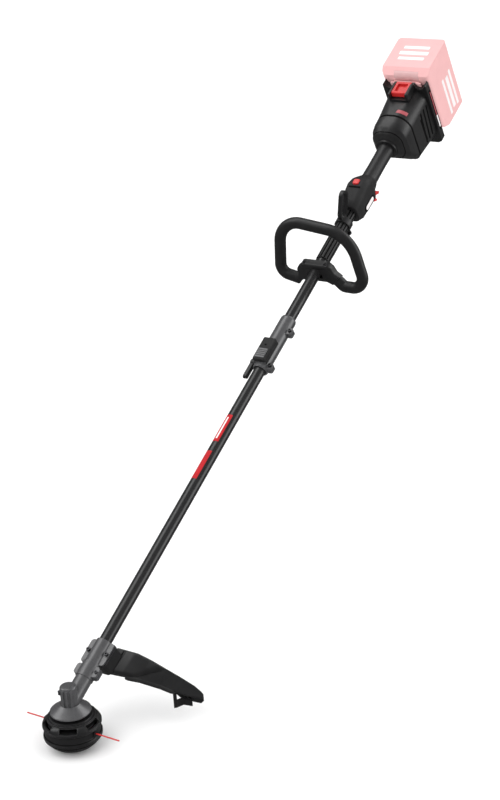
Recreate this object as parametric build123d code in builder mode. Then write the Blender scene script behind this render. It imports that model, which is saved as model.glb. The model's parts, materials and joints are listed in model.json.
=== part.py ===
"""Battery string trimmer with a split straight boom, modelled in the pose in which it is used.

The origin is on the cutting head's spin axis, at the ground face of the bump knob.
+Z is up along the spin axis and +X runs back to the operator, so the boom climbs in the XZ plane.
Along the boom, a place is given by its station from the crossing of boom and spin axis,
its rise square to the boom, and its distance to the operator's left.
"""

import math
import os

from build123d import *

# Fits between pieces
SEAT_GAP = 0.05
RUN_GAP = 0.06
SLIDE_GAP = 0.3

# Boom tubes and their lie
BOOM_ANGLE = 29.5
CROSSING_HEIGHT = 92.0
TUBE_DIAMETER = 26.0
TUBE_WALL = 1.5
LOWER_TUBE_LENGTH = 893.0
UPPER_TUBE_LENGTH = 633.0
TUBE_JOINT_GAP = 3.0

# Drive shafts, their bushes and square ends
DRIVE_DIAMETER = 9.0
DRIVE_SQUARE = 5.6
DRIVE_SQUARE_LENGTH = 22.0
DRIVE_SOCKET_DIAMETER = 15.0
DRIVE_SOCKET_DEPTH = 25.0
BUSH_LENGTH = 20.0
LOWER_BUSH_SHARES = (0.178, 0.492, 0.805)
UPPER_BUSH_SHARES = (0.237, 0.632)

# Gear case and its bearings
POST_RADIUS = 16.5
POST_TOP = 131.0
POST_ROUNDING = 4.0
CASE_FLOOR = 74.0
CASE_LENGTH = 56.0
CASE_SOCKET_RADIUS = 17.0
CASE_COLLAR_LENGTH = 33.0
CASE_COLLAR_RADIUS = 18.5
CASE_RIB_COUNT = 3
CASE_RIB_SPACING = 28.0
CASE_RIB_BEARING = 205.0
CASE_RIB_DEPTH = 2.5
CASE_RIB_WIDTH = 4.0
CASE_LUG_STATION = 60.5
CASE_LUG_LENGTH = 23.0
CASE_LUG_REACH = 27.5
CASE_LUG_SCREW_SIDE = 23.0
CASE_LUG_HEIGHT = 15.0
CASE_EAR_HEIGHT = 11.0
BEARING_DIAMETER = 26.0
BEARING_BORE = 10.0
BEARING_WIDTH = 8.0
BEARING_GROOVE_DEPTH = 0.6
PINION_BEARING_STATION = 24.0
TUBE_SEAT_STATION = 41.0
GREASE_PLUG_RADIUS = 4.5
GREASE_PLUG_HEIGHT = 119.0
GREASE_PLUG_BEARING = 137.0
GREASE_PLUG_PROUD = 2.5

# Bevel gears
PINION_TEETH = 14
GEAR_TEETH = 19
GEAR_MODULE = 1.2
TOOTH_ADDENDUM = 0.4
TOOTH_DEDENDUM = 1.0
TOOTH_SHARE = 0.40
TOOTH_TIP_SHARE = 0.26
GEAR_FACE = 6.0
GEAR_BACKING = 4.0

# Skirt cone under the gear case
SKIRT_RADIUS = 40.0
SKIRT_RIM_HEIGHT = 76.0
SKIRT_NECK_HEIGHT = 93.0
SKIRT_NECK_RADIUS = 19.5
SKIRT_WALL = 2.2
SKIRT_LIP = 2.5

# Spindle
SPINDLE_DIAMETER = 10.0
SPINDLE_COLLAR_RADIUS = 11.5
SPINDLE_COLLAR_HEIGHT = 3.6

# Cutting head
HEAD_RADIUS = 56.5
HEAD_TOP = 70.0
HEAD_CROWN_RADIUS = 38.0
HEAD_STEP_RADII = (42.0, 46.5)
HEAD_STEP = 3.0
HEAD_UPPER_RING_TOP = 54.0
HEAD_SEAM = 48.0
HEAD_WAIST_RADIUS = 54.5
HEAD_LOWER_RING_TOP = 31.0
HEAD_LOWER_RING_BOTTOM = 25.0
HEAD_FOOT_RADIUS = 43.0
HEAD_FOOT_HEIGHT = 9.0
HEAD_WALL = 3.0
HEAD_HUB_RADIUS = 14.0
HEAD_HUB_BOTTOM = 23.0
HEAD_MOUTH_RADIUS = 32.0
HEAD_WINDOW_COUNT = 6
HEAD_WINDOW_WIDTH = 34.0
HEAD_WINDOW_HEIGHT = 8.5
HEAD_WINDOW_LEVEL = 59.3
HEAD_WINDOW_CORNER = 2.0
EYELET_RADIUS = 5.5
EYELET_FLANGE_RADIUS = 7.2
EYELET_FLANGE = 2.5
EYELET_LEVEL = 40.5
LINE_DIAMETER = 3.0
LINE_REACH = 111.5

# Spool and bump knob
SPOOL_RADIUS = 46.0
SPOOL_FLANGE = 2.5
SPOOL_TOP = 53.5
SPOOL_BOTTOM = 17.0
SPOOL_DRUM_RADIUS = 27.0
SPOOL_POCKET_RADIUS = 21.0
SPOOL_POCKET_FLOOR = 30.0
WOUND_LINE_RADIUS = 42.0
KNOB_RADIUS = 30.0
KNOB_TOP = 17.0
KNOB_FACE_RADIUS = 20.0
BUMP_SPRING_WIRE = 2.0

# Guard and its bracket
BRACKET_LENGTH = 51.0
BRACKET_RADIUS = 16.5
BRACKET_REACH = 27.0
BRACKET_PLATE = 4.0
BRACKET_CORNER = 7.0
BRACKET_SCREW_SIDE = 21.5
GUARD_BLOCK_DEPTH = 30.0
GUARD_BLOCK_REACH = 30.0
GUARD_WALL = 3.0
GUARD_LEFT = (20.0, 42.0, 68.0, 104.0, 134.0, 160.0, 174.0, 179.0)
GUARD_FRONT_X = (90.0, 114.0, 137.0, 154.0, 160.0, 170.0, 178.5, 182.5)
GUARD_FRONT_Z = (117.0, 102.0, 89.0, 75.0, 66.0, 58.0, 54.5, 52.5)
GUARD_REAR_X = (136.0, 170.0, 177.0, 178.0, 182.0, 187.0, 188.0, 188.0)
GUARD_REAR_Z = (147.0, 122.0, 110.0, 98.0, 85.0, 71.0, 61.5, 56.5)
GUARD_SKIRT_Z = (128.0, 100.0, 84.0, 60.0, 38.0, 36.0, 36.5, 42.0)
CUTTER_RADIUS = 207.0
CUTTER_BEARING = -38.5
CUTTER_HEIGHT = 37.5
CUTTER_BOTTOM = 27.0
CUTTER_WIDTH = 7.0
CUTTER_THICKNESS = 2.0
CUTTER_TAIL = 18.0
CUTTER_TAIL_HEIGHT = 21.0
CUTTER_TAIL_SETBACK = 3.0
CUTTER_ARM_HEIGHT = 17.0
CUTTER_SCREW_SPACING = 9.0
CUTTER_SCREW_LEVEL = 43.0

# Fasteners
SCREW_DIAMETER = 5.0
SCREW_HEAD_DIAMETER = 8.5
SCREW_HEAD_HEIGHT = 4.5
SCREW_SOCKET = 4.0
SCREW_SOCKET_DEPTH = 2.5
SMALL_SCREW_DIAMETER = 4.0
SMALL_SCREW_HEAD_DIAMETER = 7.0
SMALL_SCREW_HEAD_HEIGHT = 2.4
SMALL_SCREW_SLOT = 1.0

# Coupler that joins the two tubes
COUPLER_SOCKET = 85.0
COUPLER_LENGTH = 148.0
COUPLER_RADIUS = 18.0
COUPLER_END_RADIUS = 16.8
COUPLER_END_TAPER = 4.0
LUG_SETBACKS = (10.0, 112.0)
LUG_LENGTH = 17.0
LUG_REACH = 28.0
LUG_HEIGHT = 15.0
LUG_SLIT = 2.0
LUG_SCREW_SIDE = 22.5
LEVER_HOUSING_SETBACK = 9.0
LEVER_HOUSING_LENGTH = 62.0
LEVER_HOUSING_WIDTH = 30.0
LEVER_HOUSING_TOP = 28.0
LEVER_HOUSING_WALL = 3.0
LEVER_PAD_LENGTH = 26.0
LEVER_PAD_INSET = 1.3
LEVER_PAD_PROUD = 2.5
LEVER_PAD_RIBS = 5
LEVER_ARM_DEPTH = 3.0
LEVER_HUB_RADIUS = 3.2
LOCK_PIN_DIAMETER = 6.0
LOCK_PIN_SETBACK = 12.0
PIVOT_DIAMETER = 4.0
KNOB_SETBACK = 17.0
KNOB_BOSS_RADIUS = 8.5
KNOB_BOSS_REACH = 19.5
KNOB_STEM_DIAMETER = 8.0
KNOB_HUB_RADIUS = 8.0
KNOB_HUB_LENGTH = 10.0
KNOB_WING_LENGTH = 44.0
KNOB_WING_THICKNESS = 11.0
KNOB_WING_WIDTH = 8.0

# Loop handle
BRIDGE_SETBACK = 17.0
HANDLE_LEAN = 65.0
HANDLE_BASE_RISE = 22.0
HANDLE_BAR_DIAMETER = 26.5
HANDLE_BOW = (
    (51.0, -43.0), (66.0, -56.0), (122.0, -57.0), (88.6, 69.1),
    (-86.6, 89.4), (-97.0, -38.5), (-46.5, -49.3))
HANDLE_BENDS = (16.0, 26.0, 80.0, 52.0, 24.0)
BRIDGE_CROWN = ((47.0, -25.0), (37.0, -9.0), (-39.0, -8.0), (-49.5, -24.0))
BRIDGE_CROWN_ROUNDING = 10.0
BRIDGE_UNDERSIDE = ((-37.0, -48.5), (20.0, -44.0))
SADDLE_FRONT = 19.0
SADDLE_TOP = 22.0
SADDLE_HALF_WIDTH = 39.0
SADDLE_ROUNDING = 13.0
SADDLE_EDGE = 6.0
BRIDGE_THICKNESS = 25.0
BRIDGE_EDGE = 6.0
BRIDGE_TIP = 3.0
BRIDGE_INNER_HALF = 19.0
CAP_LENGTH = 22.0
CAP_DEPTH = 10.0
CAP_HALF_WIDTH = 33.0
HANDLE_SCREW_SIDE = 27.0
HANDLE_SCREW_SETBACK = 11.5
HANDLE_SCREW_RISE = 16.0

# Fluted sleeve and harness eyelet
SLEEVE_LENGTH = 166.0
SLEEVE_RADIUS = 16.0
SLEEVE_SEAT = 14.0
SLEEVE_FLUTES = 12
SLEEVE_FLUTE_RADIUS = 1.8
EYELET_SETBACK = 34.0
EYELET_BAND_RADIUS = 19.5
EYELET_BAND_LENGTH = 16.0
EYELET_LOOP_LEAN = 49.0
EYELET_LOOP_LENGTH = 68.0
EYELET_LOOP_WIDTH = 30.0
EYELET_LOOP_BAR = 6.0
EYELET_LOOP_THICKNESS = 9.0
EYELET_EAR_DEPTH = 15.0
EYELET_EAR_THICKNESS = 5.0
EYELET_EAR_SLIT = 2.0

# Control housing, trigger and button
CONTROL_LENGTH = 108.0
CONTROL_WALL = 2.5
CONTROL_STEPS = (0.0, 16.0, 64.0, 82.0, 91.0, 108.0)
CONTROL_TOPS = (23.0, 30.0, 39.0, 35.0, 30.5, 20.5)
CONTROL_BOTTOMS = (24.0, 30.0, 32.0, 33.0, 21.5, 20.5)
CONTROL_HALF_WIDTHS = (22.0, 26.0, 27.0, 26.0, 23.5, 20.5)
CONTROL_CORNERS = (14.0, 15.0, 16.0, 16.0, 17.0, 18.0)
BUTTON_SETBACK = 43.0
BUTTON_LENGTH = 15.0
BUTTON_WIDTH = 15.0
BUTTON_CORNER = 4.0
BUTTON_RISE = 41.5
BUTTON_DEPTH = 14.0
BUTTON_TRAVEL = 2.0
TRIGGER_PIVOT_SETBACK = 32.0
TRIGGER_PIVOT_DROP = 22.0
TRIGGER_HUB_RADIUS = 6.0
TRIGGER_WIDTH = 13.0
TRIGGER_OUTLINE = (
    (-5.0, -3.0), (4.0, -14.0), (19.0, -31.0), (29.0, -37.5), (32.0, -35.0), (24.5, -19.5),
    (46.0, -30.0), (50.0, -26.5), (30.0, -7.0), (12.0, 0.0), (5.0, 3.0))
TRIGGER_PIN_HALF = 24.0
TRIGGER_SLOT_WALL = 1.2
SWITCH_LENGTH = 22.0
SWITCH_HEIGHT = 15.0
SWITCH_WIDTH = 15.0
BOARD_THICKNESS = 1.6
CONTROL_BOARD_LENGTH = 44.0
CONTROL_BOARD_WIDTH = 38.0
CONTROL_BOARD_RISE = 22.0
CONTROL_BOARD_STEP = 41.0
CONTROL_RIB = 2.0
CONTROL_BOSS_RADIUS = 4.5
CONTROL_SCREW_STEPS = (24.0, 24.0, 92.0)
CONTROL_SCREW_RISES = (21.0, -23.0, 20.0)
CONTROL_SCREW_SEAT = 17.0
CONTROL_SCREW_REACH = 12.0
BUTTON_FLANGE = 1.5
BUTTON_FLANGE_DEPTH = 2.5

# Rear grip
GRIP_LENGTH = 112.0
GRIP_RADIUS = 19.5
GRIP_WAIST_RADIUS = 18.5

# Motor housing
CAP_SEAT = 21.0
HOUSING_CENTRE_DROP = 18.0
HOUSING_HEIGHT = 140.0
HOUSING_WIDTH = 92.0
HOUSING_TOP_CORNER = 40.0
HOUSING_BOTTOM_CORNER = 19.0
HOUSING_WALL = 3.0
FRONT_CAP_LENGTH = 56.0
FRONT_CAP_STEPS = (0.0, 8.0, 24.0, 40.0, 56.0)
FRONT_CAP_TOPS = (27.0, 38.0, 48.0, 51.0)
FRONT_CAP_BOTTOMS = (27.0, 36.0, 54.0, 70.0)
FRONT_CAP_HALF_WIDTHS = (27.0, 37.0, 44.0, 46.0)
FRONT_CAP_TOP_CORNERS = (26.0, 30.0, 36.0, 38.0)
FRONT_CAP_BOTTOM_CORNERS = (26.0, 28.0, 25.0, 21.0)
FRONT_CAP_COLLAR_RADIUS = 26.0
FRONT_CAP_COLLAR_LENGTH = 5.0
CAP_SCREW_RISE = 52.0
CAP_SCREW_SIDE = 28.0
CAP_BOSS_RADIUS = 7.0
CAP_BOSS_LENGTH = 16.0
CAP_SCREW_REACH = 13.0
CAP_SOCKET_WALL = 4.0
HOUSING_LENGTH = 89.0
HOUSING_FLARE = 8.0
HOUSING_FRONT_LIFT = 6.0
HOUSING_REAR_CORNERS = (28.0, 18.0)
VENT_COUNT = 3
VENT_STEP = 60.0
VENT_DROP = 24.0
VENT_SPACING = 15.0
VENT_HEIGHT = 86.0
VENT_WIDTH = 6.0
VENT_LEAN = 5.0

# Motor
STATOR_RADIUS = 35.0
STATOR_LENGTH = 40.0
STATOR_SETBACK = 14.0
STATOR_TEETH = 12
STATOR_RING = 6.0
STATOR_TOOTH_WIDTH = 6.0
ROTOR_RADIUS = 21.0
AIR_GAP = 0.5
MOTOR_SHAFT_DIAMETER = 10.0
MOTOR_BULKHEAD = 9.0
MOTOR_SEAT_WALL = 3.0
MOTOR_REAR_GAP = 5.0
COUPLING_SETBACK = 2.0
COUPLING_LENGTH = 20.0
COUPLING_SOCKET = 14.0
COUPLING_RADIUS = 9.0
CONTROLLER_WIDTH = 70.0
CONTROLLER_DROP = 62.0

# Battery dock, latch and pack
DOCK_THICKNESS = 17.0
DOCK_HALF_WIDTH = 57.0
DOCK_STAND = 18.0
DOCK_APRON = 19.0
DOCK_ROUNDING = 6.0
DOCK_FOOT_DROP = 3.0
DOCK_FOOT_HALF_WIDTH = 48.0
DOCK_FOOT_REAR = 8.0
CHANNEL_HALF_WIDTH = 40.0
CHANNEL_DEPTH = 8.0
CHANNEL_LIP = 6.0
CHANNEL_LIP_DEPTH = 3.5
SCALLOP_RADIUS = 13.0
SCALLOP_SIDE = 40.0
LATCH_BRACKET_HALF_WIDTH = 26.0
LATCH_BRACKET_HEIGHT = 21.0
LATCH_BRACKET_ROUNDING = 5.0
LATCH_BRACKET_WALL = 4.0
LATCH_HALF_WIDTH = 19.5
LATCH_LENGTH = 40.0
LATCH_STAND = 5.0
LATCH_HEIGHT = 14.0
LATCH_TRAVEL = 5.0
LATCH_ROUNDING = 2.5
LATCH_POCKET = 26.0
LATCH_POCKET_DEPTH = 6.0
LATCH_TONGUE_THICKNESS = 5.0
LATCH_TONGUE_HALF_WIDTH = 13.0
TERMINAL_COUNT = 5
TERMINAL_SPACING = 11.0
TERMINAL_THICKNESS = 2.0
TERMINAL_LENGTH = 16.0
TERMINAL_RISE = 10.0
CHANNEL_FLOOR = 15.0
LATCH_TONGUE_LENGTH = 1.5
PACK_DEPTH = 118.0
PACK_HALF_WIDTH = 62.0
PACK_STAND = 26.0
PACK_FOOT = 13.0
PACK_TOE_LENGTH = 34.0
PACK_TOE_HEIGHT = 18.0
PACK_CHAMFER = 15.0
PACK_ROUNDING = 5.0
PACK_CORNER = 9.0
PACK_NOTCH_DEPTH = 3.5
RUNNER_RISE = 24.0
RUNNER_DROP = 4.0

# Places worked out from the sizes above
TUBE_RADIUS = TUBE_DIAMETER / 2
SEAT_RADIUS = TUBE_RADIUS + SEAT_GAP
GLIDE_RADIUS = TUBE_RADIUS + SLIDE_GAP
CROSSING = Vector(0, 0, CROSSING_HEIGHT)
BOOM = Vector(math.cos(math.radians(BOOM_ANGLE)), 0, math.sin(math.radians(BOOM_ANGLE)))
RISE = Vector(-math.sin(math.radians(BOOM_ANGLE)), 0, math.cos(math.radians(BOOM_ANGLE)))
LEFT = Vector(0, -1, 0)
BOOM_AXIS = Axis(CROSSING, BOOM)
RISE_AXIS = Axis(CROSSING, RISE)
LEFT_AXIS = Axis(CROSSING, LEFT)
SIDE = Plane(origin=CROSSING, x_dir=BOOM, z_dir=LEFT)

collar_rear = CASE_LENGTH + CASE_COLLAR_LENGTH
bracket_front = collar_rear + SLIDE_GAP
bracket_rear = bracket_front + BRACKET_LENGTH
bracket_middle = bracket_front + BRACKET_LENGTH / 2
lower_tube_rear = TUBE_SEAT_STATION + LOWER_TUBE_LENGTH
upper_tube_front = lower_tube_rear + TUBE_JOINT_GAP
upper_tube_rear = upper_tube_front + UPPER_TUBE_LENGTH
coupler_front = lower_tube_rear - COUPLER_SOCKET
coupler_rear = coupler_front + COUPLER_LENGTH
cap_front = upper_tube_rear - CAP_SEAT
grip_front = cap_front - GRIP_LENGTH
control_front = grip_front - CONTROL_LENGTH
sleeve_rear = control_front + SLEEVE_SEAT
sleeve_front = sleeve_rear - SLEEVE_LENGTH
bridge_station = sleeve_front - BRIDGE_SETBACK
eyelet_station = control_front - EYELET_SETBACK
housing_front = cap_front + FRONT_CAP_LENGTH
housing_rear = housing_front + HOUSING_LENGTH
dock_rear = housing_rear + DOCK_THICKNESS
pack_front = dock_rear + SLIDE_GAP


def point(station, rise=0.0, left=0.0):
    """A point at a station of the boom, raised square to it and set to the operator's left."""
    return CROSSING + BOOM * station + RISE * rise + LEFT * left


def across(station, rise=0.0, left=0.0):
    """Plane square to the boom, with x up, y to the left and z to the rear."""
    return Plane(origin=point(station, rise, left), x_dir=RISE, z_dir=BOOM)


def facing_up(station, rise=0.0, left=0.0):
    """Plane facing up square to the boom, with x to the rear."""
    return Plane(origin=point(station, rise, left), x_dir=BOOM, z_dir=RISE)


def facing_left(station, rise=0.0, left=0.0):
    """Plane facing the operator's left, with x to the rear and y up."""
    return Plane(origin=point(station, rise, left), x_dir=BOOM, z_dir=LEFT)


def facing_out(bearing_deg, distance=0.0, height=0.0):
    """Plane square to a direction from the spin axis, with y up and z outwards."""
    turn = math.radians(bearing_deg)
    outward = Vector(math.cos(turn), math.sin(turn), 0)
    sideways = Vector(-math.sin(turn), math.cos(turn), 0)
    return Plane(origin=outward * distance + Vector(0, 0, height), x_dir=sideways, z_dir=outward)


def turned(plane, angle):
    """The same plane with its x direction turned about its normal."""
    turn = math.radians(angle)
    x_dir = plane.x_dir * math.cos(turn) + plane.y_dir * math.sin(turn)
    return Plane(origin=plane.origin, x_dir=x_dir, z_dir=plane.z_dir)


def boom_ring(front, length, outer, inner=0.0, mode=Mode.ADD):
    """A round bar or ring about the boom's axis."""
    with BuildSketch(across(front)) as ring:
        Circle(outer)
        if inner > 0:
            Circle(inner, mode=Mode.SUBTRACT)
    extrude(ring.sketch, amount=length, mode=mode)


def upright_ring(bottom, height, outer, inner=0.0, mode=Mode.ADD):
    """A round bar or ring about the spin axis."""
    with BuildSketch(Plane.XY.offset(bottom)) as ring:
        Circle(outer)
        if inner > 0:
            Circle(inner, mode=Mode.SUBTRACT)
    extrude(ring.sketch, amount=height, mode=mode)


def boom_block(front, rear, bottom, top, half_width, mode=Mode.ADD):
    """A block between two stations and two rises, centred on the boom."""
    with BuildSketch(across(front, (bottom + top) / 2)) as face:
        Rectangle(top - bottom, 2 * half_width)
    extrude(face.sketch, amount=rear - front, mode=mode)


def bar(plane, length, radius, mode=Mode.ADD):
    """A round bar that starts on a plane."""
    with BuildSketch(plane) as face:
        Circle(radius)
    extrude(face.sketch, amount=length, mode=mode)


def socket_screw(head_plane, shank_length):
    """A socket-head screw whose head stands on a plane and whose shank runs behind it."""
    bar(head_plane, SCREW_HEAD_HEIGHT, SCREW_HEAD_DIAMETER / 2)
    bar(head_plane, -shank_length, SCREW_DIAMETER / 2)
    with BuildSketch(head_plane.offset(SCREW_HEAD_HEIGHT)) as socket:
        RegularPolygon(SCREW_SOCKET / 2, 6)
    extrude(socket.sketch, amount=-SCREW_SOCKET_DEPTH, mode=Mode.SUBTRACT)


def pan_screw(head_plane, shank_length):
    """A small pan-head screw whose head stands on a plane and whose shank runs behind it."""
    bar(head_plane, SMALL_SCREW_HEAD_HEIGHT, SMALL_SCREW_HEAD_DIAMETER / 2)
    bar(head_plane, -shank_length, SMALL_SCREW_DIAMETER / 2)
    with BuildSketch(head_plane.offset(SMALL_SCREW_HEAD_HEIGHT)) as cross:
        Rectangle(SMALL_SCREW_HEAD_DIAMETER * 0.7, SMALL_SCREW_SLOT)
        Rectangle(SMALL_SCREW_SLOT, SMALL_SCREW_HEAD_DIAMETER * 0.7)
    extrude(cross.sketch, amount=-SMALL_SCREW_HEAD_HEIGHT / 2, mode=Mode.SUBTRACT)


def bearing(plane):
    """A shielded ball bearing as one ring with a shield groove in each face."""
    outer = BEARING_DIAMETER / 2
    inner = BEARING_BORE / 2 + RUN_GAP
    ring_wall = (outer - inner) / 4
    with BuildSketch(plane) as ring:
        Circle(outer)
        Circle(inner, mode=Mode.SUBTRACT)
    extrude(ring.sketch, amount=BEARING_WIDTH)
    for face_offset, depth in ((BEARING_WIDTH, -BEARING_GROOVE_DEPTH), (0.0, BEARING_GROOVE_DEPTH)):
        with BuildSketch(plane.offset(face_offset)) as groove:
            Circle(outer - ring_wall)
            Circle(inner + ring_wall, mode=Mode.SUBTRACT)
        extrude(groove.sketch, amount=depth, mode=Mode.SUBTRACT)


def finish(builder, label):
    """Label a finished piece and write it."""
    builder.part.label = label
    export_step(builder.part, f"parts/{label}.step")


os.makedirs("parts", exist_ok=True)

# Boom tubes: two straight tubes that meet inside the coupler
lever_front = coupler_front + LEVER_HOUSING_SETBACK
lever_rear = lever_front + LEVER_HOUSING_LENGTH
lock_station = lever_rear - LOCK_PIN_SETBACK

with BuildPart() as lower_tube:
    boom_ring(TUBE_SEAT_STATION, LOWER_TUBE_LENGTH, TUBE_RADIUS, TUBE_RADIUS - TUBE_WALL)
    bar(facing_up(lock_station), TUBE_DIAMETER, LOCK_PIN_DIAMETER / 2 + SLIDE_GAP, mode=Mode.SUBTRACT)
finish(lower_tube, "lower_tube")

with BuildPart() as upper_tube:
    boom_ring(upper_tube_front, UPPER_TUBE_LENGTH, TUBE_RADIUS, TUBE_RADIUS - TUBE_WALL)
finish(upper_tube, "upper_tube")

# Drive line: two bars with a square end that slides into a square socket
bush_radius = TUBE_RADIUS - TUBE_WALL - SEAT_GAP
bush_bore = DRIVE_DIAMETER / 2 + RUN_GAP

with BuildPart() as lower_bushes:
    for share in LOWER_BUSH_SHARES:
        bush_station = TUBE_SEAT_STATION + share * LOWER_TUBE_LENGTH
        boom_ring(bush_station, BUSH_LENGTH, bush_radius, bush_bore)
finish(lower_bushes, "lower_drive_bushes")

with BuildPart() as upper_bushes:
    for share in UPPER_BUSH_SHARES:
        bush_station = upper_tube_front + share * UPPER_TUBE_LENGTH
        boom_ring(bush_station, BUSH_LENGTH, bush_radius, bush_bore)
finish(upper_bushes, "upper_drive_bushes")

pinion_shaft_rear = PINION_BEARING_STATION + 2 * BEARING_WIDTH + DRIVE_DIAMETER
square_front = pinion_shaft_rear - DRIVE_SQUARE_LENGTH / 2
socket_front = upper_tube_front + SLIDE_GAP
square_rear = socket_front + DRIVE_SQUARE_LENGTH

with BuildPart() as lower_drive:
    drive_front = pinion_shaft_rear + SEAT_GAP
    drive_rear = socket_front - SLIDE_GAP
    boom_ring(drive_front, drive_rear - drive_front, DRIVE_DIAMETER / 2)
    with BuildSketch(across(square_front)):
        Rectangle(DRIVE_SQUARE, DRIVE_SQUARE)
    extrude(amount=square_rear - square_front)
finish(lower_drive, "lower_drive_shaft")

motor_front = housing_front + STATOR_SETBACK
coupling_front = upper_tube_rear + COUPLING_SETBACK
drive_rear_end = coupling_front + COUPLING_SOCKET

with BuildPart() as upper_drive:
    boom_ring(socket_front, DRIVE_SOCKET_DEPTH + DRIVE_DIAMETER, DRIVE_SOCKET_DIAMETER / 2)
    boom_ring(socket_front, drive_rear_end - socket_front, DRIVE_DIAMETER / 2)
    with BuildSketch(across(socket_front)):
        Rectangle(DRIVE_SQUARE + 2 * SLIDE_GAP, DRIVE_SQUARE + 2 * SLIDE_GAP)
    extrude(amount=DRIVE_SOCKET_DEPTH, mode=Mode.SUBTRACT)
finish(upper_drive, "upper_drive_shaft")

# Bevel gears: straight teeth that all point at the crossing of the two axes
shaft_angle = math.radians(90 - BOOM_ANGLE)
gear_cone = math.atan2(math.sin(shaft_angle), PINION_TEETH / GEAR_TEETH + math.cos(shaft_angle))
pinion_cone = shaft_angle - gear_cone
cone_length = GEAR_MODULE * GEAR_TEETH / 2 / math.sin(gear_cone)
cone_inner = cone_length - GEAR_FACE


def bevel_teeth(plane, cone, teeth, phase):
    """Blank and teeth of a bevel gear whose pitch cone has its apex at the plane's origin."""
    near = cone_inner * math.cos(cone)
    far = cone_length * math.cos(cone)
    pitch_far = cone_length * math.sin(cone)
    shrink = cone_inner / cone_length
    root = pitch_far - TOOTH_DEDENDUM
    with BuildSketch(plane.offset(near)) as small_end:
        Circle(root * shrink)
    with BuildSketch(plane.offset(far)) as large_end:
        Circle(root)
    loft([small_end.sketch, large_end.sketch])
    pitch = 2 * math.pi * pitch_far / teeth
    half_root = pitch * TOOTH_SHARE / 2
    half_tip = pitch * TOOTH_TIP_SHARE / 2
    tip = pitch_far + TOOTH_ADDENDUM
    base = root - TOOTH_DEDENDUM
    outline = [(base, -half_root), (tip, -half_tip), (tip, half_tip), (base, half_root)]
    for tooth in range(teeth):
        tooth_plane = turned(plane, (tooth + phase) * 360 / teeth)
        with BuildSketch(tooth_plane.offset(near)) as inner_end:
            Polygon(*[(x * shrink, y * shrink) for x, y in outline], align=None)
        with BuildSketch(tooth_plane.offset(far)) as outer_end:
            Polygon(*outline, align=None)
        loft([inner_end.sketch, outer_end.sketch], ruled=True)


with BuildPart() as pinion:
    pinion_back = cone_length * math.cos(pinion_cone)
    bevel_teeth(across(0), pinion_cone, PINION_TEETH, 0.5)
    boom_ring(pinion_back, PINION_BEARING_STATION - SLIDE_GAP - pinion_back, BEARING_BORE / 2 + 2)
    boom_ring(pinion_back, pinion_shaft_rear - pinion_back, BEARING_BORE / 2)
    with BuildSketch(across(square_front - SLIDE_GAP)):
        Rectangle(DRIVE_SQUARE + 2 * SEAT_GAP, DRIVE_SQUARE + 2 * SEAT_GAP)
    extrude(amount=pinion_shaft_rear - square_front + SLIDE_GAP, mode=Mode.SUBTRACT)
finish(pinion, "bevel_pinion")

gear_back = CROSSING_HEIGHT + cone_length * math.cos(gear_cone)
gear_top = gear_back + GEAR_BACKING
spindle_seat = SPINDLE_DIAMETER / 2 + SEAT_GAP
gear_plane = Plane(origin=CROSSING, x_dir=(1, 0, 0), z_dir=(0, 0, 1))

with BuildPart() as driven_gear:
    bevel_teeth(gear_plane, gear_cone, GEAR_TEETH, 0.0)
    upright_ring(gear_back, GEAR_BACKING, SPINDLE_DIAMETER / 2 + GEAR_BACKING)
    upright_ring(CROSSING_HEIGHT, gear_top - CROSSING_HEIGHT, spindle_seat, mode=Mode.SUBTRACT)
finish(driven_gear, "driven_bevel_gear")

# Spindle that hangs in two bearings and carries the cutting head
lower_bearing_bottom = CASE_FLOOR + 1.0
upper_bearing_bottom = gear_top + SLIDE_GAP
upper_bearing_top = upper_bearing_bottom + BEARING_WIDTH

with BuildPart() as spindle:
    upright_ring(HEAD_HUB_BOTTOM, upper_bearing_top - HEAD_HUB_BOTTOM, SPINDLE_DIAMETER / 2)
    upright_ring(HEAD_TOP + SEAT_GAP, SPINDLE_COLLAR_HEIGHT, SPINDLE_COLLAR_RADIUS)
finish(spindle, "spindle")

with BuildPart() as spindle_bearings:
    bearing(Plane.XY.offset(lower_bearing_bottom))
    bearing(Plane.XY.offset(upper_bearing_bottom))
finish(spindle_bearings, "spindle_bearings")

with BuildPart() as pinion_bearings:
    bearing(across(PINION_BEARING_STATION))
    bearing(across(PINION_BEARING_STATION + BEARING_WIDTH + SEAT_GAP))
finish(pinion_bearings, "pinion_bearings")

# Gear case: upright post, inclined socket for pinion and tube, and a slit clamp collar
bearing_seat = BEARING_DIAMETER / 2 + SEAT_GAP
lug_middle = CASE_LUG_STATION + CASE_LUG_LENGTH / 2
plug_bearing = math.radians(GREASE_PLUG_BEARING)
plug_direction = Vector(math.cos(plug_bearing), math.sin(plug_bearing), 0)
plug_origin = plug_direction * POST_RADIUS + Vector(0, 0, GREASE_PLUG_HEIGHT)
plug_plane = Plane(origin=plug_origin, x_dir=(0, 0, 1), z_dir=plug_direction)

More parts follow.
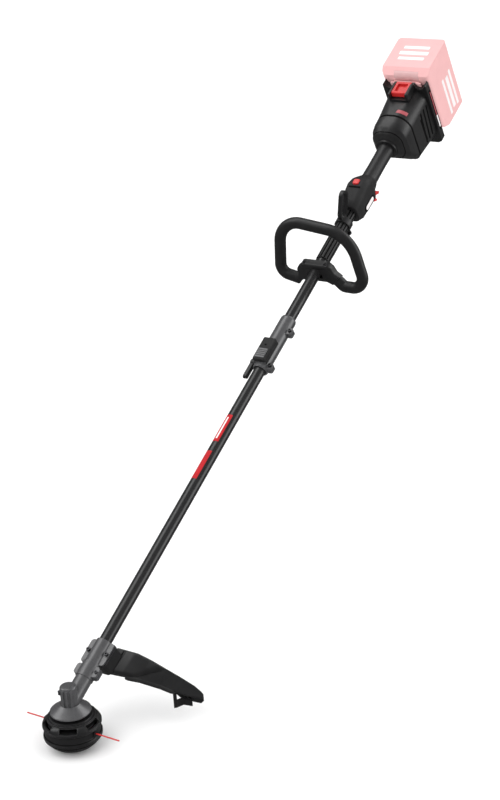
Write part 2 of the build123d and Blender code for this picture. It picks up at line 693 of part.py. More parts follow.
with BuildPart() as gear_case:
    upright_ring(CASE_FLOOR, POST_TOP - CASE_FLOOR, POST_RADIUS)
    fillet(gear_case.edges().group_by(Axis.Z)[-1], POST_ROUNDING)
    boom_ring(0, CASE_LENGTH, CASE_SOCKET_RADIUS)
    boom_ring(CASE_LENGTH, CASE_COLLAR_LENGTH, CASE_COLLAR_RADIUS)
    with BuildSketch(facing_up(lug_middle)):
        with Locations((0, -CASE_LUG_REACH / 2)):
            RectangleRounded(CASE_LUG_LENGTH, CASE_LUG_REACH, CASE_LUG_LENGTH / 4)
    extrude(amount=CASE_LUG_HEIGHT / 2, both=True)
    with BuildSketch(facing_up(lug_middle)):
        with Locations((0, CASE_LUG_REACH / 2)):
            RectangleRounded(CASE_LUG_LENGTH, CASE_LUG_REACH, CASE_LUG_LENGTH / 4)
    extrude(amount=CASE_EAR_HEIGHT / 2, both=True)
    for rib in range(CASE_RIB_COUNT):
        rib_bearing = CASE_RIB_BEARING + (rib - (CASE_RIB_COUNT - 1) / 2) * CASE_RIB_SPACING
        rib_height = POST_TOP - POST_ROUNDING - SKIRT_NECK_HEIGHT
        with BuildSketch(facing_out(rib_bearing, POST_RADIUS, SKIRT_NECK_HEIGHT + rib_height / 2)):
            Rectangle(CASE_RIB_WIDTH, rib_height)
        extrude(amount=CASE_RIB_DEPTH, both=True)
    bar(plug_plane.offset(-POST_ROUNDING), POST_ROUNDING + 1.0, GREASE_PLUG_RADIUS + 1.5)
    upright_ring(CASE_FLOOR, upper_bearing_top + SEAT_GAP - CASE_FLOOR, bearing_seat,
                 mode=Mode.SUBTRACT)
    boom_ring(cone_inner * math.cos(pinion_cone) - 1.5, collar_rear, bearing_seat, mode=Mode.SUBTRACT)
    bar(plug_plane.offset(2.0), -POST_RADIUS, GREASE_PLUG_RADIUS - 1.0 + SEAT_GAP, mode=Mode.SUBTRACT)
    with BuildSketch(facing_left(CASE_LENGTH + CASE_COLLAR_LENGTH / 2)):
        Rectangle(CASE_COLLAR_LENGTH, LUG_SLIT)
    extrude(amount=CASE_LUG_REACH, mode=Mode.SUBTRACT)
    lug_hole = facing_up(lug_middle, CASE_LUG_HEIGHT / 2, CASE_LUG_SCREW_SIDE)
    bar(lug_hole, -CASE_LUG_HEIGHT, SMALL_SCREW_DIAMETER / 2 + SEAT_GAP, mode=Mode.SUBTRACT)
finish(gear_case, "gear_case")

with BuildPart() as grease_plug:
    bar(plug_plane.offset(1.0 + SEAT_GAP), GREASE_PLUG_PROUD, GREASE_PLUG_RADIUS)
    bar(plug_plane.offset(1.0 + SEAT_GAP), -3.5, GREASE_PLUG_RADIUS - 1.0)
    with BuildSketch(plug_plane.offset(1.0 + SEAT_GAP + GREASE_PLUG_PROUD)):
        RegularPolygon(GREASE_PLUG_RADIUS / 2, 6)
    extrude(amount=-GREASE_PLUG_PROUD / 2, mode=Mode.SUBTRACT)
finish(grease_plug, "grease_plug")

with BuildPart() as case_screw:
    pan_screw(lug_hole, CASE_LUG_HEIGHT - SEAT_GAP)
finish(case_screw, "case_clamp_screw")

with BuildPart() as gear_skirt:
    skirt_bore = POST_RADIUS + SEAT_GAP
    with BuildSketch(Plane.XZ):
        with BuildLine():
            Polyline(
                (skirt_bore, SKIRT_NECK_HEIGHT), (SKIRT_NECK_RADIUS, SKIRT_NECK_HEIGHT),
                (SKIRT_RADIUS, SKIRT_RIM_HEIGHT + SKIRT_LIP), (SKIRT_RADIUS, SKIRT_RIM_HEIGHT),
                (SKIRT_RADIUS - SKIRT_WALL, SKIRT_RIM_HEIGHT),
                (SKIRT_RADIUS - SKIRT_WALL, SKIRT_RIM_HEIGHT + SKIRT_LIP - SKIRT_WALL / 2),
                (SKIRT_NECK_RADIUS, SKIRT_NECK_HEIGHT - SKIRT_WALL),
                (skirt_bore, SKIRT_NECK_HEIGHT - SKIRT_WALL),
                close=True)
        make_face()
    revolve(axis=Axis.Z)
    boom_ring(0, CASE_LENGTH, CASE_SOCKET_RADIUS + SEAT_GAP, mode=Mode.SUBTRACT)
finish(gear_skirt, "gear_skirt")

# Guard bracket: a saddle over the tube with an ear on each side
with BuildPart() as guard_bracket:
    boom_ring(bracket_front, BRACKET_LENGTH, BRACKET_RADIUS)
    boom_block(bracket_front, bracket_rear, 0, BRACKET_PLATE, BRACKET_REACH)
    boom_block(bracket_front, bracket_rear, -BRACKET_RADIUS, 0, BRACKET_REACH, mode=Mode.SUBTRACT)
    boom_ring(bracket_front, BRACKET_LENGTH, SEAT_RADIUS, mode=Mode.SUBTRACT)
    with BuildSketch(facing_up(bracket_middle, BRACKET_PLATE)):
        with GridLocations(1, 2 * BRACKET_SCREW_SIDE, 1, 2):
            Circle(SCREW_DIAMETER / 2 + SEAT_GAP)
    extrude(amount=-BRACKET_PLATE, mode=Mode.SUBTRACT)
    outer_edges = guard_bracket.edges().filter_by(RISE_AXIS).group_by(LEFT_AXIS)
    fillet(outer_edges[0] + outer_edges[-1], BRACKET_CORNER)
finish(guard_bracket, "guard_bracket")

# Places of the line cutter: its edge on the cutting circle and its tail on the guard's skirt
cutter_bearing = math.radians(CUTTER_BEARING)
cutter_out = Vector(math.cos(cutter_bearing), math.sin(cutter_bearing), 0)
cutter_along = Vector(-cutter_out.Y, cutter_out.X, 0)
cutter_origin = cutter_out * CUTTER_RADIUS + Vector(0, 0, CUTTER_BOTTOM)
seat_start = Vector(GUARD_REAR_X[4] - GUARD_WALL, -GUARD_LEFT[4], 0)
seat_end = Vector(GUARD_REAR_X[5] - GUARD_WALL, -GUARD_LEFT[5], 0)
seat_run = (seat_end - seat_start).normalized()
seat_normal = Vector(seat_run.Y, -seat_run.X, 0)
tail_start = seat_start + seat_run * CUTTER_TAIL_SETBACK + seat_normal * SEAT_GAP
tail_foot = Vector(0, 0, CUTTER_BOTTOM)
tail_plane = Plane(origin=tail_start + tail_foot, x_dir=seat_run, z_dir=seat_normal)
screw_level = Vector(0, 0, CUTTER_SCREW_LEVEL)
blade_end = cutter_out * (CUTTER_RADIUS + CUTTER_WIDTH / 2 - CUTTER_THICKNESS)
arm_corners = [
    tail_start, tail_start + seat_normal * CUTTER_THICKNESS,
    blade_end - cutter_along * CUTTER_THICKNESS / 2, blade_end + cutter_along * CUTTER_THICKNESS / 2]
cutter_screw_planes = [
    Plane(origin=tail_start + screw_level + seat_run * along + seat_normal * CUTTER_THICKNESS,
          x_dir=seat_run, z_dir=seat_normal)
    for along in (CUTTER_TAIL / 2 - CUTTER_SCREW_SPACING / 2,
                  CUTTER_TAIL / 2 + CUTTER_SCREW_SPACING / 2)]

# Guard: a block under the tube and a curved wing with a skirt along its rear edge
with BuildPart() as guard:
    for left, front_x, front_z, rear_x, rear_z, skirt_z in zip(
            GUARD_LEFT, GUARD_FRONT_X, GUARD_FRONT_Z, GUARD_REAR_X, GUARD_REAR_Z, GUARD_SKIRT_Z):
        with BuildSketch(Plane.XZ.offset(left)):
            Polygon(
                (front_x, front_z), (rear_x, rear_z), (rear_x, skirt_z), (rear_x - GUARD_WALL, skirt_z),
                (rear_x - GUARD_WALL, rear_z - 1.7 * GUARD_WALL), (front_x, front_z - GUARD_WALL),
                align=None)
    loft(ruled=True)
    with BuildSketch(facing_up(bracket_middle, -SEAT_GAP)):
        RectangleRounded(BRACKET_LENGTH, 2 * GUARD_BLOCK_REACH, BRACKET_CORNER)
    extrude(amount=SEAT_GAP - GUARD_BLOCK_DEPTH)
    boom_ring(bracket_front - BRACKET_LENGTH, 3 * BRACKET_LENGTH, SEAT_RADIUS, mode=Mode.SUBTRACT)
    with BuildSketch(facing_up(bracket_middle, 0)):
        with GridLocations(1, 2 * BRACKET_SCREW_SIDE, 1, 2):
            Circle(SCREW_DIAMETER / 2 + SEAT_GAP)
    extrude(amount=-GUARD_BLOCK_DEPTH / 2, mode=Mode.SUBTRACT)
    for screw_plane in cutter_screw_planes:
        bar(screw_plane, -2 * GUARD_WALL - CUTTER_THICKNESS, SMALL_SCREW_DIAMETER / 2 + SEAT_GAP,
            mode=Mode.SUBTRACT)
finish(guard, "guard")

# Line cutter: a steel strip that trims the line to the cutting circle, on a tail screwed to the skirt
with BuildPart() as line_cutter:
    with BuildSketch(Plane(origin=cutter_origin, x_dir=cutter_out, z_dir=(0, 0, 1))):
        Rectangle(CUTTER_WIDTH, CUTTER_THICKNESS)
    extrude(amount=CUTTER_HEIGHT)
    with BuildSketch(Plane.XY.offset(CUTTER_BOTTOM)):
        Polygon(*[(corner.X, corner.Y) for corner in arm_corners], align=None)
    extrude(amount=CUTTER_ARM_HEIGHT)
    with BuildSketch(tail_plane):
        Rectangle(CUTTER_TAIL, CUTTER_TAIL_HEIGHT, align=(Align.MIN, Align.MIN))
    extrude(amount=CUTTER_THICKNESS)
    for screw_plane in cutter_screw_planes:
        bar(screw_plane, -CUTTER_THICKNESS, SMALL_SCREW_DIAMETER / 2 + SEAT_GAP, mode=Mode.SUBTRACT)
finish(line_cutter, "line_cutter")

with BuildPart() as cutter_screws:
    for screw_plane in cutter_screw_planes:
        pan_screw(screw_plane, CUTTER_THICKNESS + GUARD_WALL)
finish(cutter_screws, "cutter_screws")

with BuildPart() as guard_screws:
    for side in (-BRACKET_SCREW_SIDE, BRACKET_SCREW_SIDE):
        socket_screw(facing_up(bracket_middle, BRACKET_PLATE, side), GUARD_BLOCK_DEPTH / 2)
finish(guard_screws, "guard_screws")

# Cutting head: upper cover, lower housing, eyelets, line ends, spool, spring and bump knob
hub_bore = SPINDLE_DIAMETER / 2 + SEAT_GAP
ceiling = HEAD_TOP - HEAD_WALL
head_floor = SPOOL_BOTTOM - SLIDE_GAP

with BuildPart() as head_upper:
    with BuildSketch(Plane.XZ):
        with BuildLine():
            outer_crown = Polyline(
                (hub_bore, HEAD_TOP), (HEAD_STEP_RADII[0], HEAD_TOP),
                (HEAD_STEP_RADII[0], HEAD_TOP - HEAD_STEP), (HEAD_STEP_RADII[1], HEAD_TOP - HEAD_STEP),
                (HEAD_STEP_RADII[1], HEAD_TOP - 2 * HEAD_STEP))
            outer_shoulder = TangentArc(outer_crown @ 1, (HEAD_RADIUS, HEAD_UPPER_RING_TOP),
                                        tangent=(1, -0.25))
            Polyline(
                outer_shoulder @ 1, (HEAD_RADIUS, HEAD_SEAM), (HEAD_RADIUS - HEAD_WALL, HEAD_SEAM),
                (HEAD_RADIUS - HEAD_WALL, HEAD_UPPER_RING_TOP - 1.5), (HEAD_CROWN_RADIUS, ceiling),
                (HEAD_HUB_RADIUS, ceiling), (HEAD_HUB_RADIUS, HEAD_HUB_BOTTOM),
                (hub_bore, HEAD_HUB_BOTTOM),
                outer_crown @ 0)
        make_face()
    revolve(axis=Axis.Z)
    for window in range(HEAD_WINDOW_COUNT):
        window_bearing = (window + 0.5) * 360 / HEAD_WINDOW_COUNT
        with BuildSketch(facing_out(window_bearing, HEAD_CROWN_RADIUS, HEAD_WINDOW_LEVEL)):
            RectangleRounded(HEAD_WINDOW_WIDTH, HEAD_WINDOW_HEIGHT, HEAD_WINDOW_CORNER)
        extrude(amount=HEAD_RADIUS, mode=Mode.SUBTRACT)
finish(head_upper, "head_upper_cover")

with BuildPart() as head_lower:
    seam = HEAD_SEAM - SEAT_GAP
    with BuildSketch(Plane.XZ):
        with BuildLine():
            Polyline(
                (HEAD_WAIST_RADIUS, seam), (HEAD_WAIST_RADIUS, HEAD_LOWER_RING_TOP + 4),
                (HEAD_RADIUS, HEAD_LOWER_RING_TOP), (HEAD_RADIUS, HEAD_LOWER_RING_BOTTOM),
                (HEAD_FOOT_RADIUS, HEAD_FOOT_HEIGHT), (HEAD_MOUTH_RADIUS, HEAD_FOOT_HEIGHT),
                (HEAD_MOUTH_RADIUS, head_floor), (SPOOL_RADIUS + 1, head_floor),
                (HEAD_WAIST_RADIUS - HEAD_WALL, HEAD_LOWER_RING_BOTTOM - 2),
                (HEAD_WAIST_RADIUS - HEAD_WALL, seam), close=True)
        make_face()
    revolve(axis=Axis.Z)
    for side in (-1, 1):
        eyelet_plane = Plane(origin=(0, 0, EYELET_LEVEL), x_dir=(0, 0, 1), z_dir=(0, side, 0))
        bar(eyelet_plane.offset(SPOOL_RADIUS), HEAD_RADIUS, EYELET_RADIUS + SEAT_GAP,
            mode=Mode.SUBTRACT)
        bar(eyelet_plane.offset(HEAD_WAIST_RADIUS), HEAD_RADIUS, EYELET_FLANGE_RADIUS + SEAT_GAP,
            mode=Mode.SUBTRACT)
finish(head_lower, "head_lower_housing")

with BuildPart() as eyelets:
    for side in (-1, 1):
        eyelet_plane = Plane(origin=(0, 0, EYELET_LEVEL), x_dir=(0, 0, 1), z_dir=(0, side, 0))
        eyelet_inner = HEAD_WAIST_RADIUS - HEAD_WALL
        bar(eyelet_plane.offset(eyelet_inner), HEAD_WALL + EYELET_FLANGE, EYELET_RADIUS)
        bar(eyelet_plane.offset(HEAD_WAIST_RADIUS + SEAT_GAP), EYELET_FLANGE, EYELET_FLANGE_RADIUS)
        bar(eyelet_plane.offset(eyelet_inner), 2 * HEAD_WALL + EYELET_FLANGE,
            LINE_DIAMETER / 2 + SLIDE_GAP,
            mode=Mode.SUBTRACT)
finish(eyelets, "line_eyelets")

with BuildPart() as line_ends:
    for side in (-1, 1):
        line_plane = Plane(origin=(0, 0, EYELET_LEVEL), x_dir=(0, 0, 1), z_dir=(0, side, 0))
        line_start = HEAD_WAIST_RADIUS - HEAD_WALL
        bar(line_plane.offset(line_start), LINE_REACH - line_start, LINE_DIAMETER / 2)
finish(line_ends, "cutting_line_ends")

hub_glide = HEAD_HUB_RADIUS + SLIDE_GAP

with BuildPart() as spool:
    upright_ring(SPOOL_BOTTOM, SPOOL_TOP - SPOOL_BOTTOM, SPOOL_DRUM_RADIUS)
    upright_ring(SPOOL_BOTTOM, SPOOL_FLANGE, SPOOL_RADIUS)
    upright_ring(SPOOL_TOP - SPOOL_FLANGE, SPOOL_FLANGE, SPOOL_RADIUS)
    upright_ring(SPOOL_BOTTOM, SPOOL_TOP - SPOOL_BOTTOM, hub_glide, mode=Mode.SUBTRACT)
    upright_ring(SPOOL_POCKET_FLOOR, SPOOL_TOP - SPOOL_POCKET_FLOOR, SPOOL_POCKET_RADIUS,
                 mode=Mode.SUBTRACT)
finish(spool, "spool")

with BuildPart() as wound_line:
    line_bottom = SPOOL_BOTTOM + SPOOL_FLANGE + SEAT_GAP
    line_top = SPOOL_TOP - SPOOL_FLANGE - SEAT_GAP
    upright_ring(line_bottom, line_top - line_bottom, WOUND_LINE_RADIUS, SPOOL_DRUM_RADIUS + SEAT_GAP)
finish(wound_line, "wound_line")

with BuildPart() as bump_knob:
    upright_ring(0, KNOB_TOP - SEAT_GAP, KNOB_RADIUS)
    chamfer(bump_knob.edges().group_by(Axis.Z)[0], KNOB_RADIUS - KNOB_FACE_RADIUS, KNOB_TOP / 3)
finish(bump_knob, "bump_knob")

with BuildPart() as bump_spring:
    spring_bottom = SPOOL_POCKET_FLOOR + SLIDE_GAP
    spring_inner = hub_glide + SLIDE_GAP
    upright_ring(spring_bottom, ceiling - SEAT_GAP - spring_bottom, spring_inner + BUMP_SPRING_WIRE,
                 spring_inner)
finish(bump_spring, "bump_spring")

# Coupler: a split casting with clamp lugs, a release lever on top and a wing knob on the right
lever_pivot_station = lever_front + LEVER_HOUSING_LENGTH / 2
lever_roof = LEVER_HOUSING_TOP - LEVER_HOUSING_WALL
lever_floor = COUPLER_RADIUS + SEAT_GAP
lever_pivot_rise = (lever_roof + lever_floor) / 2
knob_station = coupler_front + KNOB_SETBACK
lug_screw_planes = [
    facing_up(coupler_front + setback, LUG_HEIGHT / 2, LUG_SCREW_SIDE) for setback in LUG_SETBACKS]
lever_cavity_half = LEVER_HOUSING_WIDTH / 2 - LEVER_HOUSING_WALL
knob_plane = Plane(origin=point(knob_station), x_dir=BOOM, z_dir=LEFT * -1)

with BuildPart() as coupler:
    with BuildSketch(SIDE):
        with BuildLine():
            Polyline(
                (coupler_front, 0), (coupler_front, COUPLER_END_RADIUS),
                (coupler_front + COUPLER_END_TAPER / 2, COUPLER_RADIUS),
                (coupler_rear - COUPLER_END_TAPER, COUPLER_RADIUS),
                (coupler_rear, COUPLER_END_RADIUS), (coupler_rear, 0), close=True)
        make_face()
    revolve(axis=BOOM_AXIS)
    for setback in LUG_SETBACKS:
        lug_station = coupler_front + setback
        with BuildSketch(facing_up(lug_station, 0)):
            with Locations((0, -LUG_REACH / 2)):
                RectangleRounded(LUG_LENGTH, LUG_REACH, LUG_LENGTH / 4)
        extrude(amount=LUG_HEIGHT / 2, both=True)
    bar(knob_plane, KNOB_BOSS_REACH, KNOB_BOSS_RADIUS)
    boom_block(lever_front, lever_rear, 0, COUPLER_RADIUS, LEVER_HOUSING_WIDTH / 2)
    boom_ring(coupler_front, lower_tube_rear + TUBE_JOINT_GAP - coupler_front, GLIDE_RADIUS,
              mode=Mode.SUBTRACT)
    boom_ring(coupler_front, COUPLER_LENGTH, SEAT_RADIUS, mode=Mode.SUBTRACT)
    with BuildSketch(facing_left(coupler_front + COUPLER_LENGTH / 2)):
        Rectangle(COUPLER_LENGTH, LUG_SLIT)
    extrude(amount=LUG_REACH, mode=Mode.SUBTRACT)
    bar(knob_plane, KNOB_BOSS_REACH, KNOB_STEM_DIAMETER / 2 + RUN_GAP, mode=Mode.SUBTRACT)
    for lug_plane in lug_screw_planes:
        bar(lug_plane, -LUG_HEIGHT, SCREW_DIAMETER / 2 + SEAT_GAP, mode=Mode.SUBTRACT)
    bar(facing_up(lock_station, 0), LEVER_HOUSING_TOP, LOCK_PIN_DIAMETER, mode=Mode.SUBTRACT)
finish(coupler, "coupler_body")

with BuildPart() as lever_housing:
    boom_block(lever_front, lever_rear, lever_floor, LEVER_HOUSING_TOP, LEVER_HOUSING_WIDTH / 2)
    fillet(lever_housing.edges().filter_by(RISE_AXIS), LEVER_HOUSING_WALL)
    fillet(lever_housing.faces().sort_by(RISE_AXIS)[-1].edges(), LEVER_HOUSING_WALL / 2)
    boom_block(lever_front + LEVER_HOUSING_WALL, lever_rear - LEVER_HOUSING_WALL, lever_floor,
               lever_roof,
               lever_cavity_half, mode=Mode.SUBTRACT)
    boom_block(lever_front + LEVER_HOUSING_WALL, lever_front + LEVER_HOUSING_WALL + LEVER_PAD_LENGTH,
               lever_floor, LEVER_HOUSING_TOP, lever_cavity_half, mode=Mode.SUBTRACT)
    bar(facing_left(lever_pivot_station, lever_pivot_rise, -LEVER_HOUSING_WIDTH / 2),
        LEVER_HOUSING_WIDTH,
        PIVOT_DIAMETER / 2 + SEAT_GAP, mode=Mode.SUBTRACT)
finish(lever_housing, "release_housing")

# Release lever: a rocking arm with a ribbed pad in front of its pivot and the lock pin behind it
pad_front = lever_front + LEVER_HOUSING_WALL + LEVER_PAD_INSET
pad_rear = lever_front + LEVER_HOUSING_WALL + LEVER_PAD_LENGTH - SLIDE_GAP
pad_top = LEVER_HOUSING_TOP + LEVER_PAD_PROUD
pad_half = lever_cavity_half - SLIDE_GAP
rib_pitch = (pad_rear - pad_front) / LEVER_PAD_RIBS

with BuildPart() as release_lever:
    boom_block(pad_front, lever_pivot_station, lever_pivot_rise, lever_pivot_rise + LEVER_ARM_DEPTH,
               pad_half)
    boom_block(pad_front, pad_rear, lever_pivot_rise, pad_top, pad_half)
    boom_block(lever_pivot_station, lock_station + LOCK_PIN_DIAMETER / 2,
               lever_pivot_rise - LEVER_ARM_DEPTH, lever_pivot_rise, pad_half)
    bar(facing_left(lever_pivot_station, lever_pivot_rise, -pad_half), 2 * pad_half, LEVER_HUB_RADIUS)
    bar(facing_up(lock_station, lever_pivot_rise), GLIDE_RADIUS - lever_pivot_rise,
        LOCK_PIN_DIAMETER / 2)
    for rib in range(LEVER_PAD_RIBS - 1):
        groove = pad_front + (rib + 1) * rib_pitch
        boom_block(groove - rib_pitch / 5, groove + rib_pitch / 5,
                   LEVER_HOUSING_TOP + LEVER_PAD_PROUD / 2, pad_top,
                   pad_half, mode=Mode.SUBTRACT)
    bar(facing_left(lever_pivot_station, lever_pivot_rise, -pad_half), 2 * pad_half,
        PIVOT_DIAMETER / 2 + RUN_GAP, mode=Mode.SUBTRACT)
finish(release_lever, "release_lever")

# Wing knob whose stem presses on the lower tube
knob_hub_start = KNOB_BOSS_REACH + SLIDE_GAP

with BuildPart() as wing_knob:
    bar(knob_plane.offset(GLIDE_RADIUS), knob_hub_start + KNOB_HUB_LENGTH - GLIDE_RADIUS,
        KNOB_STEM_DIAMETER / 2)
    bar(knob_plane.offset(knob_hub_start), KNOB_HUB_LENGTH, KNOB_HUB_RADIUS)
    with BuildSketch(knob_plane.offset(knob_hub_start + KNOB_HUB_LENGTH - KNOB_WING_WIDTH)):
        with Locations((-KNOB_WING_LENGTH / 2 + KNOB_HUB_RADIUS, 0)):
            SlotOverall(KNOB_WING_LENGTH + 2 * KNOB_HUB_RADIUS, KNOB_WING_THICKNESS)
    extrude(amount=KNOB_WING_WIDTH)
finish(wing_knob, "wing_knob")

# Loop handle: a bridge over the tube, a round bar bent to a bow, and a clamp cap under the tube
lean = math.radians(HANDLE_LEAN)
handle_up = BOOM * math.cos(lean) + RISE * math.sin(lean)
handle_plane = Plane(origin=point(bridge_station, HANDLE_BASE_RISE), x_dir=LEFT,
                     z_dir=LEFT.cross(handle_up))
bar_radius = HANDLE_BAR_DIAMETER / 2


def root_face(root, neighbour):
    """The two ends of the bridge's face that meets the bar square at one of its roots."""
    run = (Vector(*neighbour) - Vector(*root)).normalized()
    across_run = Vector(-run.Y, run.X) * bar_radius
    middle = Vector(*root) - run * SEAT_GAP
    return [tuple(middle + across_run)[:2], tuple(middle - across_run)[:2]]


with BuildPart() as loop_bar:
    with BuildLine(handle_plane) as bow:
        FilletPolyline(*HANDLE_BOW, radius=list(HANDLE_BENDS))
    with BuildSketch(Plane(origin=bow.line @ 0, z_dir=bow.line % 0)):
        Circle(bar_radius)
    sweep()
finish(loop_bar, "handle_loop")

screw_station = bridge_station - HANDLE_SCREW_SETBACK
handle_screw_planes = [
    facing_up(screw_station, HANDLE_SCREW_RISE, side)
    for side in (-HANDLE_SCREW_SIDE, HANDLE_SCREW_SIDE)]
cap_front_station = screw_station - CAP_LENGTH / 2
cap_rear_station = screw_station + CAP_LENGTH / 2

with BuildPart() as saddle:
    with BuildSketch(across(bridge_station - SADDLE_FRONT, SADDLE_TOP / 2)) as saddle_face:
        Rectangle(SADDLE_TOP, 2 * SADDLE_HALF_WIDTH)
        fillet(saddle_face.vertices().group_by(Axis.X)[-1], SADDLE_ROUNDING)
    extrude(amount=SADDLE_FRONT)
    saddle_rim = saddle.faces().sort_by(BOOM_AXIS)[0].edges().sort_by(RISE_AXIS)[1:]
    fillet(saddle_rim, SADDLE_EDGE)

bridge_roots = [handle_plane.from_local_coords(Vector(*HANDLE_BOW[end])) for end in (0, -1)]

with BuildPart() as bridge_legs:
    left_upper, left_lower = root_face(HANDLE_BOW[0], HANDLE_BOW[1])
    right_lower, right_upper = root_face(HANDLE_BOW[-1], HANDLE_BOW[-2])
    with BuildSketch(handle_plane.offset(-BRIDGE_THICKNESS / 2)) as legs:
        Polygon(left_lower, left_upper, *BRIDGE_CROWN, right_upper, right_lower, *BRIDGE_UNDERSIDE,
                align=None)
        fillet(legs.vertices().sort_by(Axis.Y)[-4:], BRIDGE_CROWN_ROUNDING)
        fillet(legs.vertices().sort_by(Axis.Y)[0], BRIDGE_TIP)
    extrude(amount=BRIDGE_THICKNESS)
    leg_rims = bridge_legs.faces().filter_by(Axis(handle_plane.origin, handle_plane.z_dir)).edges()
    fillet([rim for rim in leg_rims
            if min((rim.center() - root).length for root in bridge_roots) > 0.6 * BRIDGE_THICKNESS],
           BRIDGE_EDGE)

with BuildPart() as handle_bridge:
    add(bridge_legs.part)
    add(saddle.part)
    boom_ring(bridge_station - 2 * BRIDGE_THICKNESS, 4 * BRIDGE_THICKNESS, GLIDE_RADIUS,
              mode=Mode.SUBTRACT)
    boom_block(bridge_station - 2 * BRIDGE_THICKNESS, bridge_station + 2 * BRIDGE_THICKNESS,
               -2 * TUBE_DIAMETER, -SEAT_GAP, BRIDGE_INNER_HALF, mode=Mode.SUBTRACT)
    boom_block(cap_front_station - SEAT_GAP, bridge_station + 2 * BRIDGE_THICKNESS,
               -2 * TUBE_DIAMETER, -TUBE_RADIUS + SEAT_GAP, CAP_HALF_WIDTH + SEAT_GAP,
               mode=Mode.SUBTRACT)
    for screw_plane in handle_screw_planes:
        bar(screw_plane, TUBE_DIAMETER, SCREW_HEAD_DIAMETER / 2 + SLIDE_GAP, mode=Mode.SUBTRACT)
        bar(screw_plane, -2 * TUBE_DIAMETER, SCREW_DIAMETER / 2 + SEAT_GAP, mode=Mode.SUBTRACT)
finish(handle_bridge, "handle_bridge")

with BuildPart() as handle_cap:
    boom_block(cap_front_station, cap_rear_station, -TUBE_RADIUS - CAP_DEPTH, -TUBE_RADIUS,
               CAP_HALF_WIDTH)
    boom_ring(cap_front_station, CAP_LENGTH, GLIDE_RADIUS, mode=Mode.SUBTRACT)
    for screw_plane in handle_screw_planes:
        bar(screw_plane, -2 * TUBE_DIAMETER, SCREW_DIAMETER / 2 + SEAT_GAP, mode=Mode.SUBTRACT)
finish(handle_cap, "handle_clamp_cap")

with BuildPart() as handle_screws:
    for screw_plane in handle_screw_planes:
        socket_screw(screw_plane, HANDLE_SCREW_RISE + TUBE_RADIUS + CAP_DEPTH)
finish(handle_screws, "handle_screws")

# Fluted sleeve on the upper tube, and the harness eyelet clamped on it
with BuildPart() as fluted_sleeve:
    with BuildSketch(across(sleeve_front)):
        Circle(SLEEVE_RADIUS)
        with PolarLocations(SLEEVE_RADIUS, SLEEVE_FLUTES):
            Circle(SLEEVE_FLUTE_RADIUS, mode=Mode.SUBTRACT)
        Circle(SEAT_RADIUS, mode=Mode.SUBTRACT)
    extrude(amount=SLEEVE_LENGTH)
finish(fluted_sleeve, "fluted_sleeve")

loop_lean = math.radians(EYELET_LOOP_LEAN)
loop_centre = (
    eyelet_station + EYELET_LOOP_LENGTH / 2 * math.cos(loop_lean),
    SLEEVE_RADIUS - EYELET_LOOP_BAR / 2 + EYELET_LOOP_LENGTH / 2 * math.sin(loop_lean))
band_front = eyelet_station - EYELET_BAND_LENGTH / 2
ear_bottom = EYELET_BAND_RADIUS + EYELET_EAR_DEPTH
ear_half = EYELET_EAR_THICKNESS + EYELET_EAR_SLIT / 2
eyelet_screw_plane = facing_left(eyelet_station, -EYELET_BAND_RADIUS - EYELET_EAR_DEPTH / 2, ear_half)

with BuildPart() as harness_eyelet:
    boom_ring(band_front, EYELET_BAND_LENGTH, EYELET_BAND_RADIUS)
    boom_block(band_front, band_front + EYELET_BAND_LENGTH, -ear_bottom, 0, ear_half)
    with BuildSketch(SIDE):
        with Locations(loop_centre):
            SlotOverall(EYELET_LOOP_LENGTH, EYELET_LOOP_WIDTH, rotation=EYELET_LOOP_LEAN)
            SlotOverall(EYELET_LOOP_LENGTH - 2 * EYELET_LOOP_BAR,
                        EYELET_LOOP_WIDTH - 2 * EYELET_LOOP_BAR,
                        rotation=EYELET_LOOP_LEAN, mode=Mode.SUBTRACT)
    extrude(amount=EYELET_LOOP_THICKNESS / 2, both=True)
    boom_ring(band_front - EYELET_LOOP_LENGTH, 3 * EYELET_LOOP_LENGTH, SLEEVE_RADIUS + SEAT_GAP,
              mode=Mode.SUBTRACT)
    boom_block(band_front, band_front + EYELET_BAND_LENGTH, -ear_bottom, 0, EYELET_EAR_SLIT / 2,
               mode=Mode.SUBTRACT)
    bar(eyelet_screw_plane, -2 * ear_half, SCREW_DIAMETER / 2 + SEAT_GAP, mode=Mode.SUBTRACT)
finish(harness_eyelet, "harness_eyelet")

with BuildPart() as clamp_screws:
    for lug_plane in lug_screw_planes:
        socket_screw(lug_plane, LUG_HEIGHT)
    socket_screw(eyelet_screw_plane, 2 * ear_half)
finish(clamp_screws, "clamp_screws")

# Control housing: a rounded body about the tube, split down the middle, with ribs and screw bosses inside
pivot_station = grip_front - TRIGGER_PIVOT_SETBACK
button_station = grip_front - BUTTON_SETBACK
board_front = control_front + CONTROL_BOARD_STEP
board_rear = board_front + CONTROL_BOARD_LENGTH
trigger_half = TRIGGER_WIDTH / 2
control_screw_planes = [
    Plane(origin=point(control_front + step, rise, -CONTROL_SCREW_SEAT), x_dir=BOOM, z_dir=LEFT * -1)
    for step, rise in zip(CONTROL_SCREW_STEPS, CONTROL_SCREW_RISES)]


def control_body(inset):
    """The rounded body of the control housing, drawn in from its outside by an inset."""
    sections = []
    for step, top, bottom, half, corner in zip(
            CONTROL_STEPS, CONTROL_TOPS, CONTROL_BOTTOMS, CONTROL_HALF_WIDTHS, CONTROL_CORNERS):
        share = step / CONTROL_STEPS[-1]
        station = control_front + inset + share * (CONTROL_LENGTH - 2 * inset)
        with BuildSketch(across(station, (top - bottom) / 2)) as section:
            RectangleRounded(top + bottom - 2 * inset, 2 * (half - inset), corner - inset)
        sections.append(section.sketch)
    loft(sections, ruled=True)


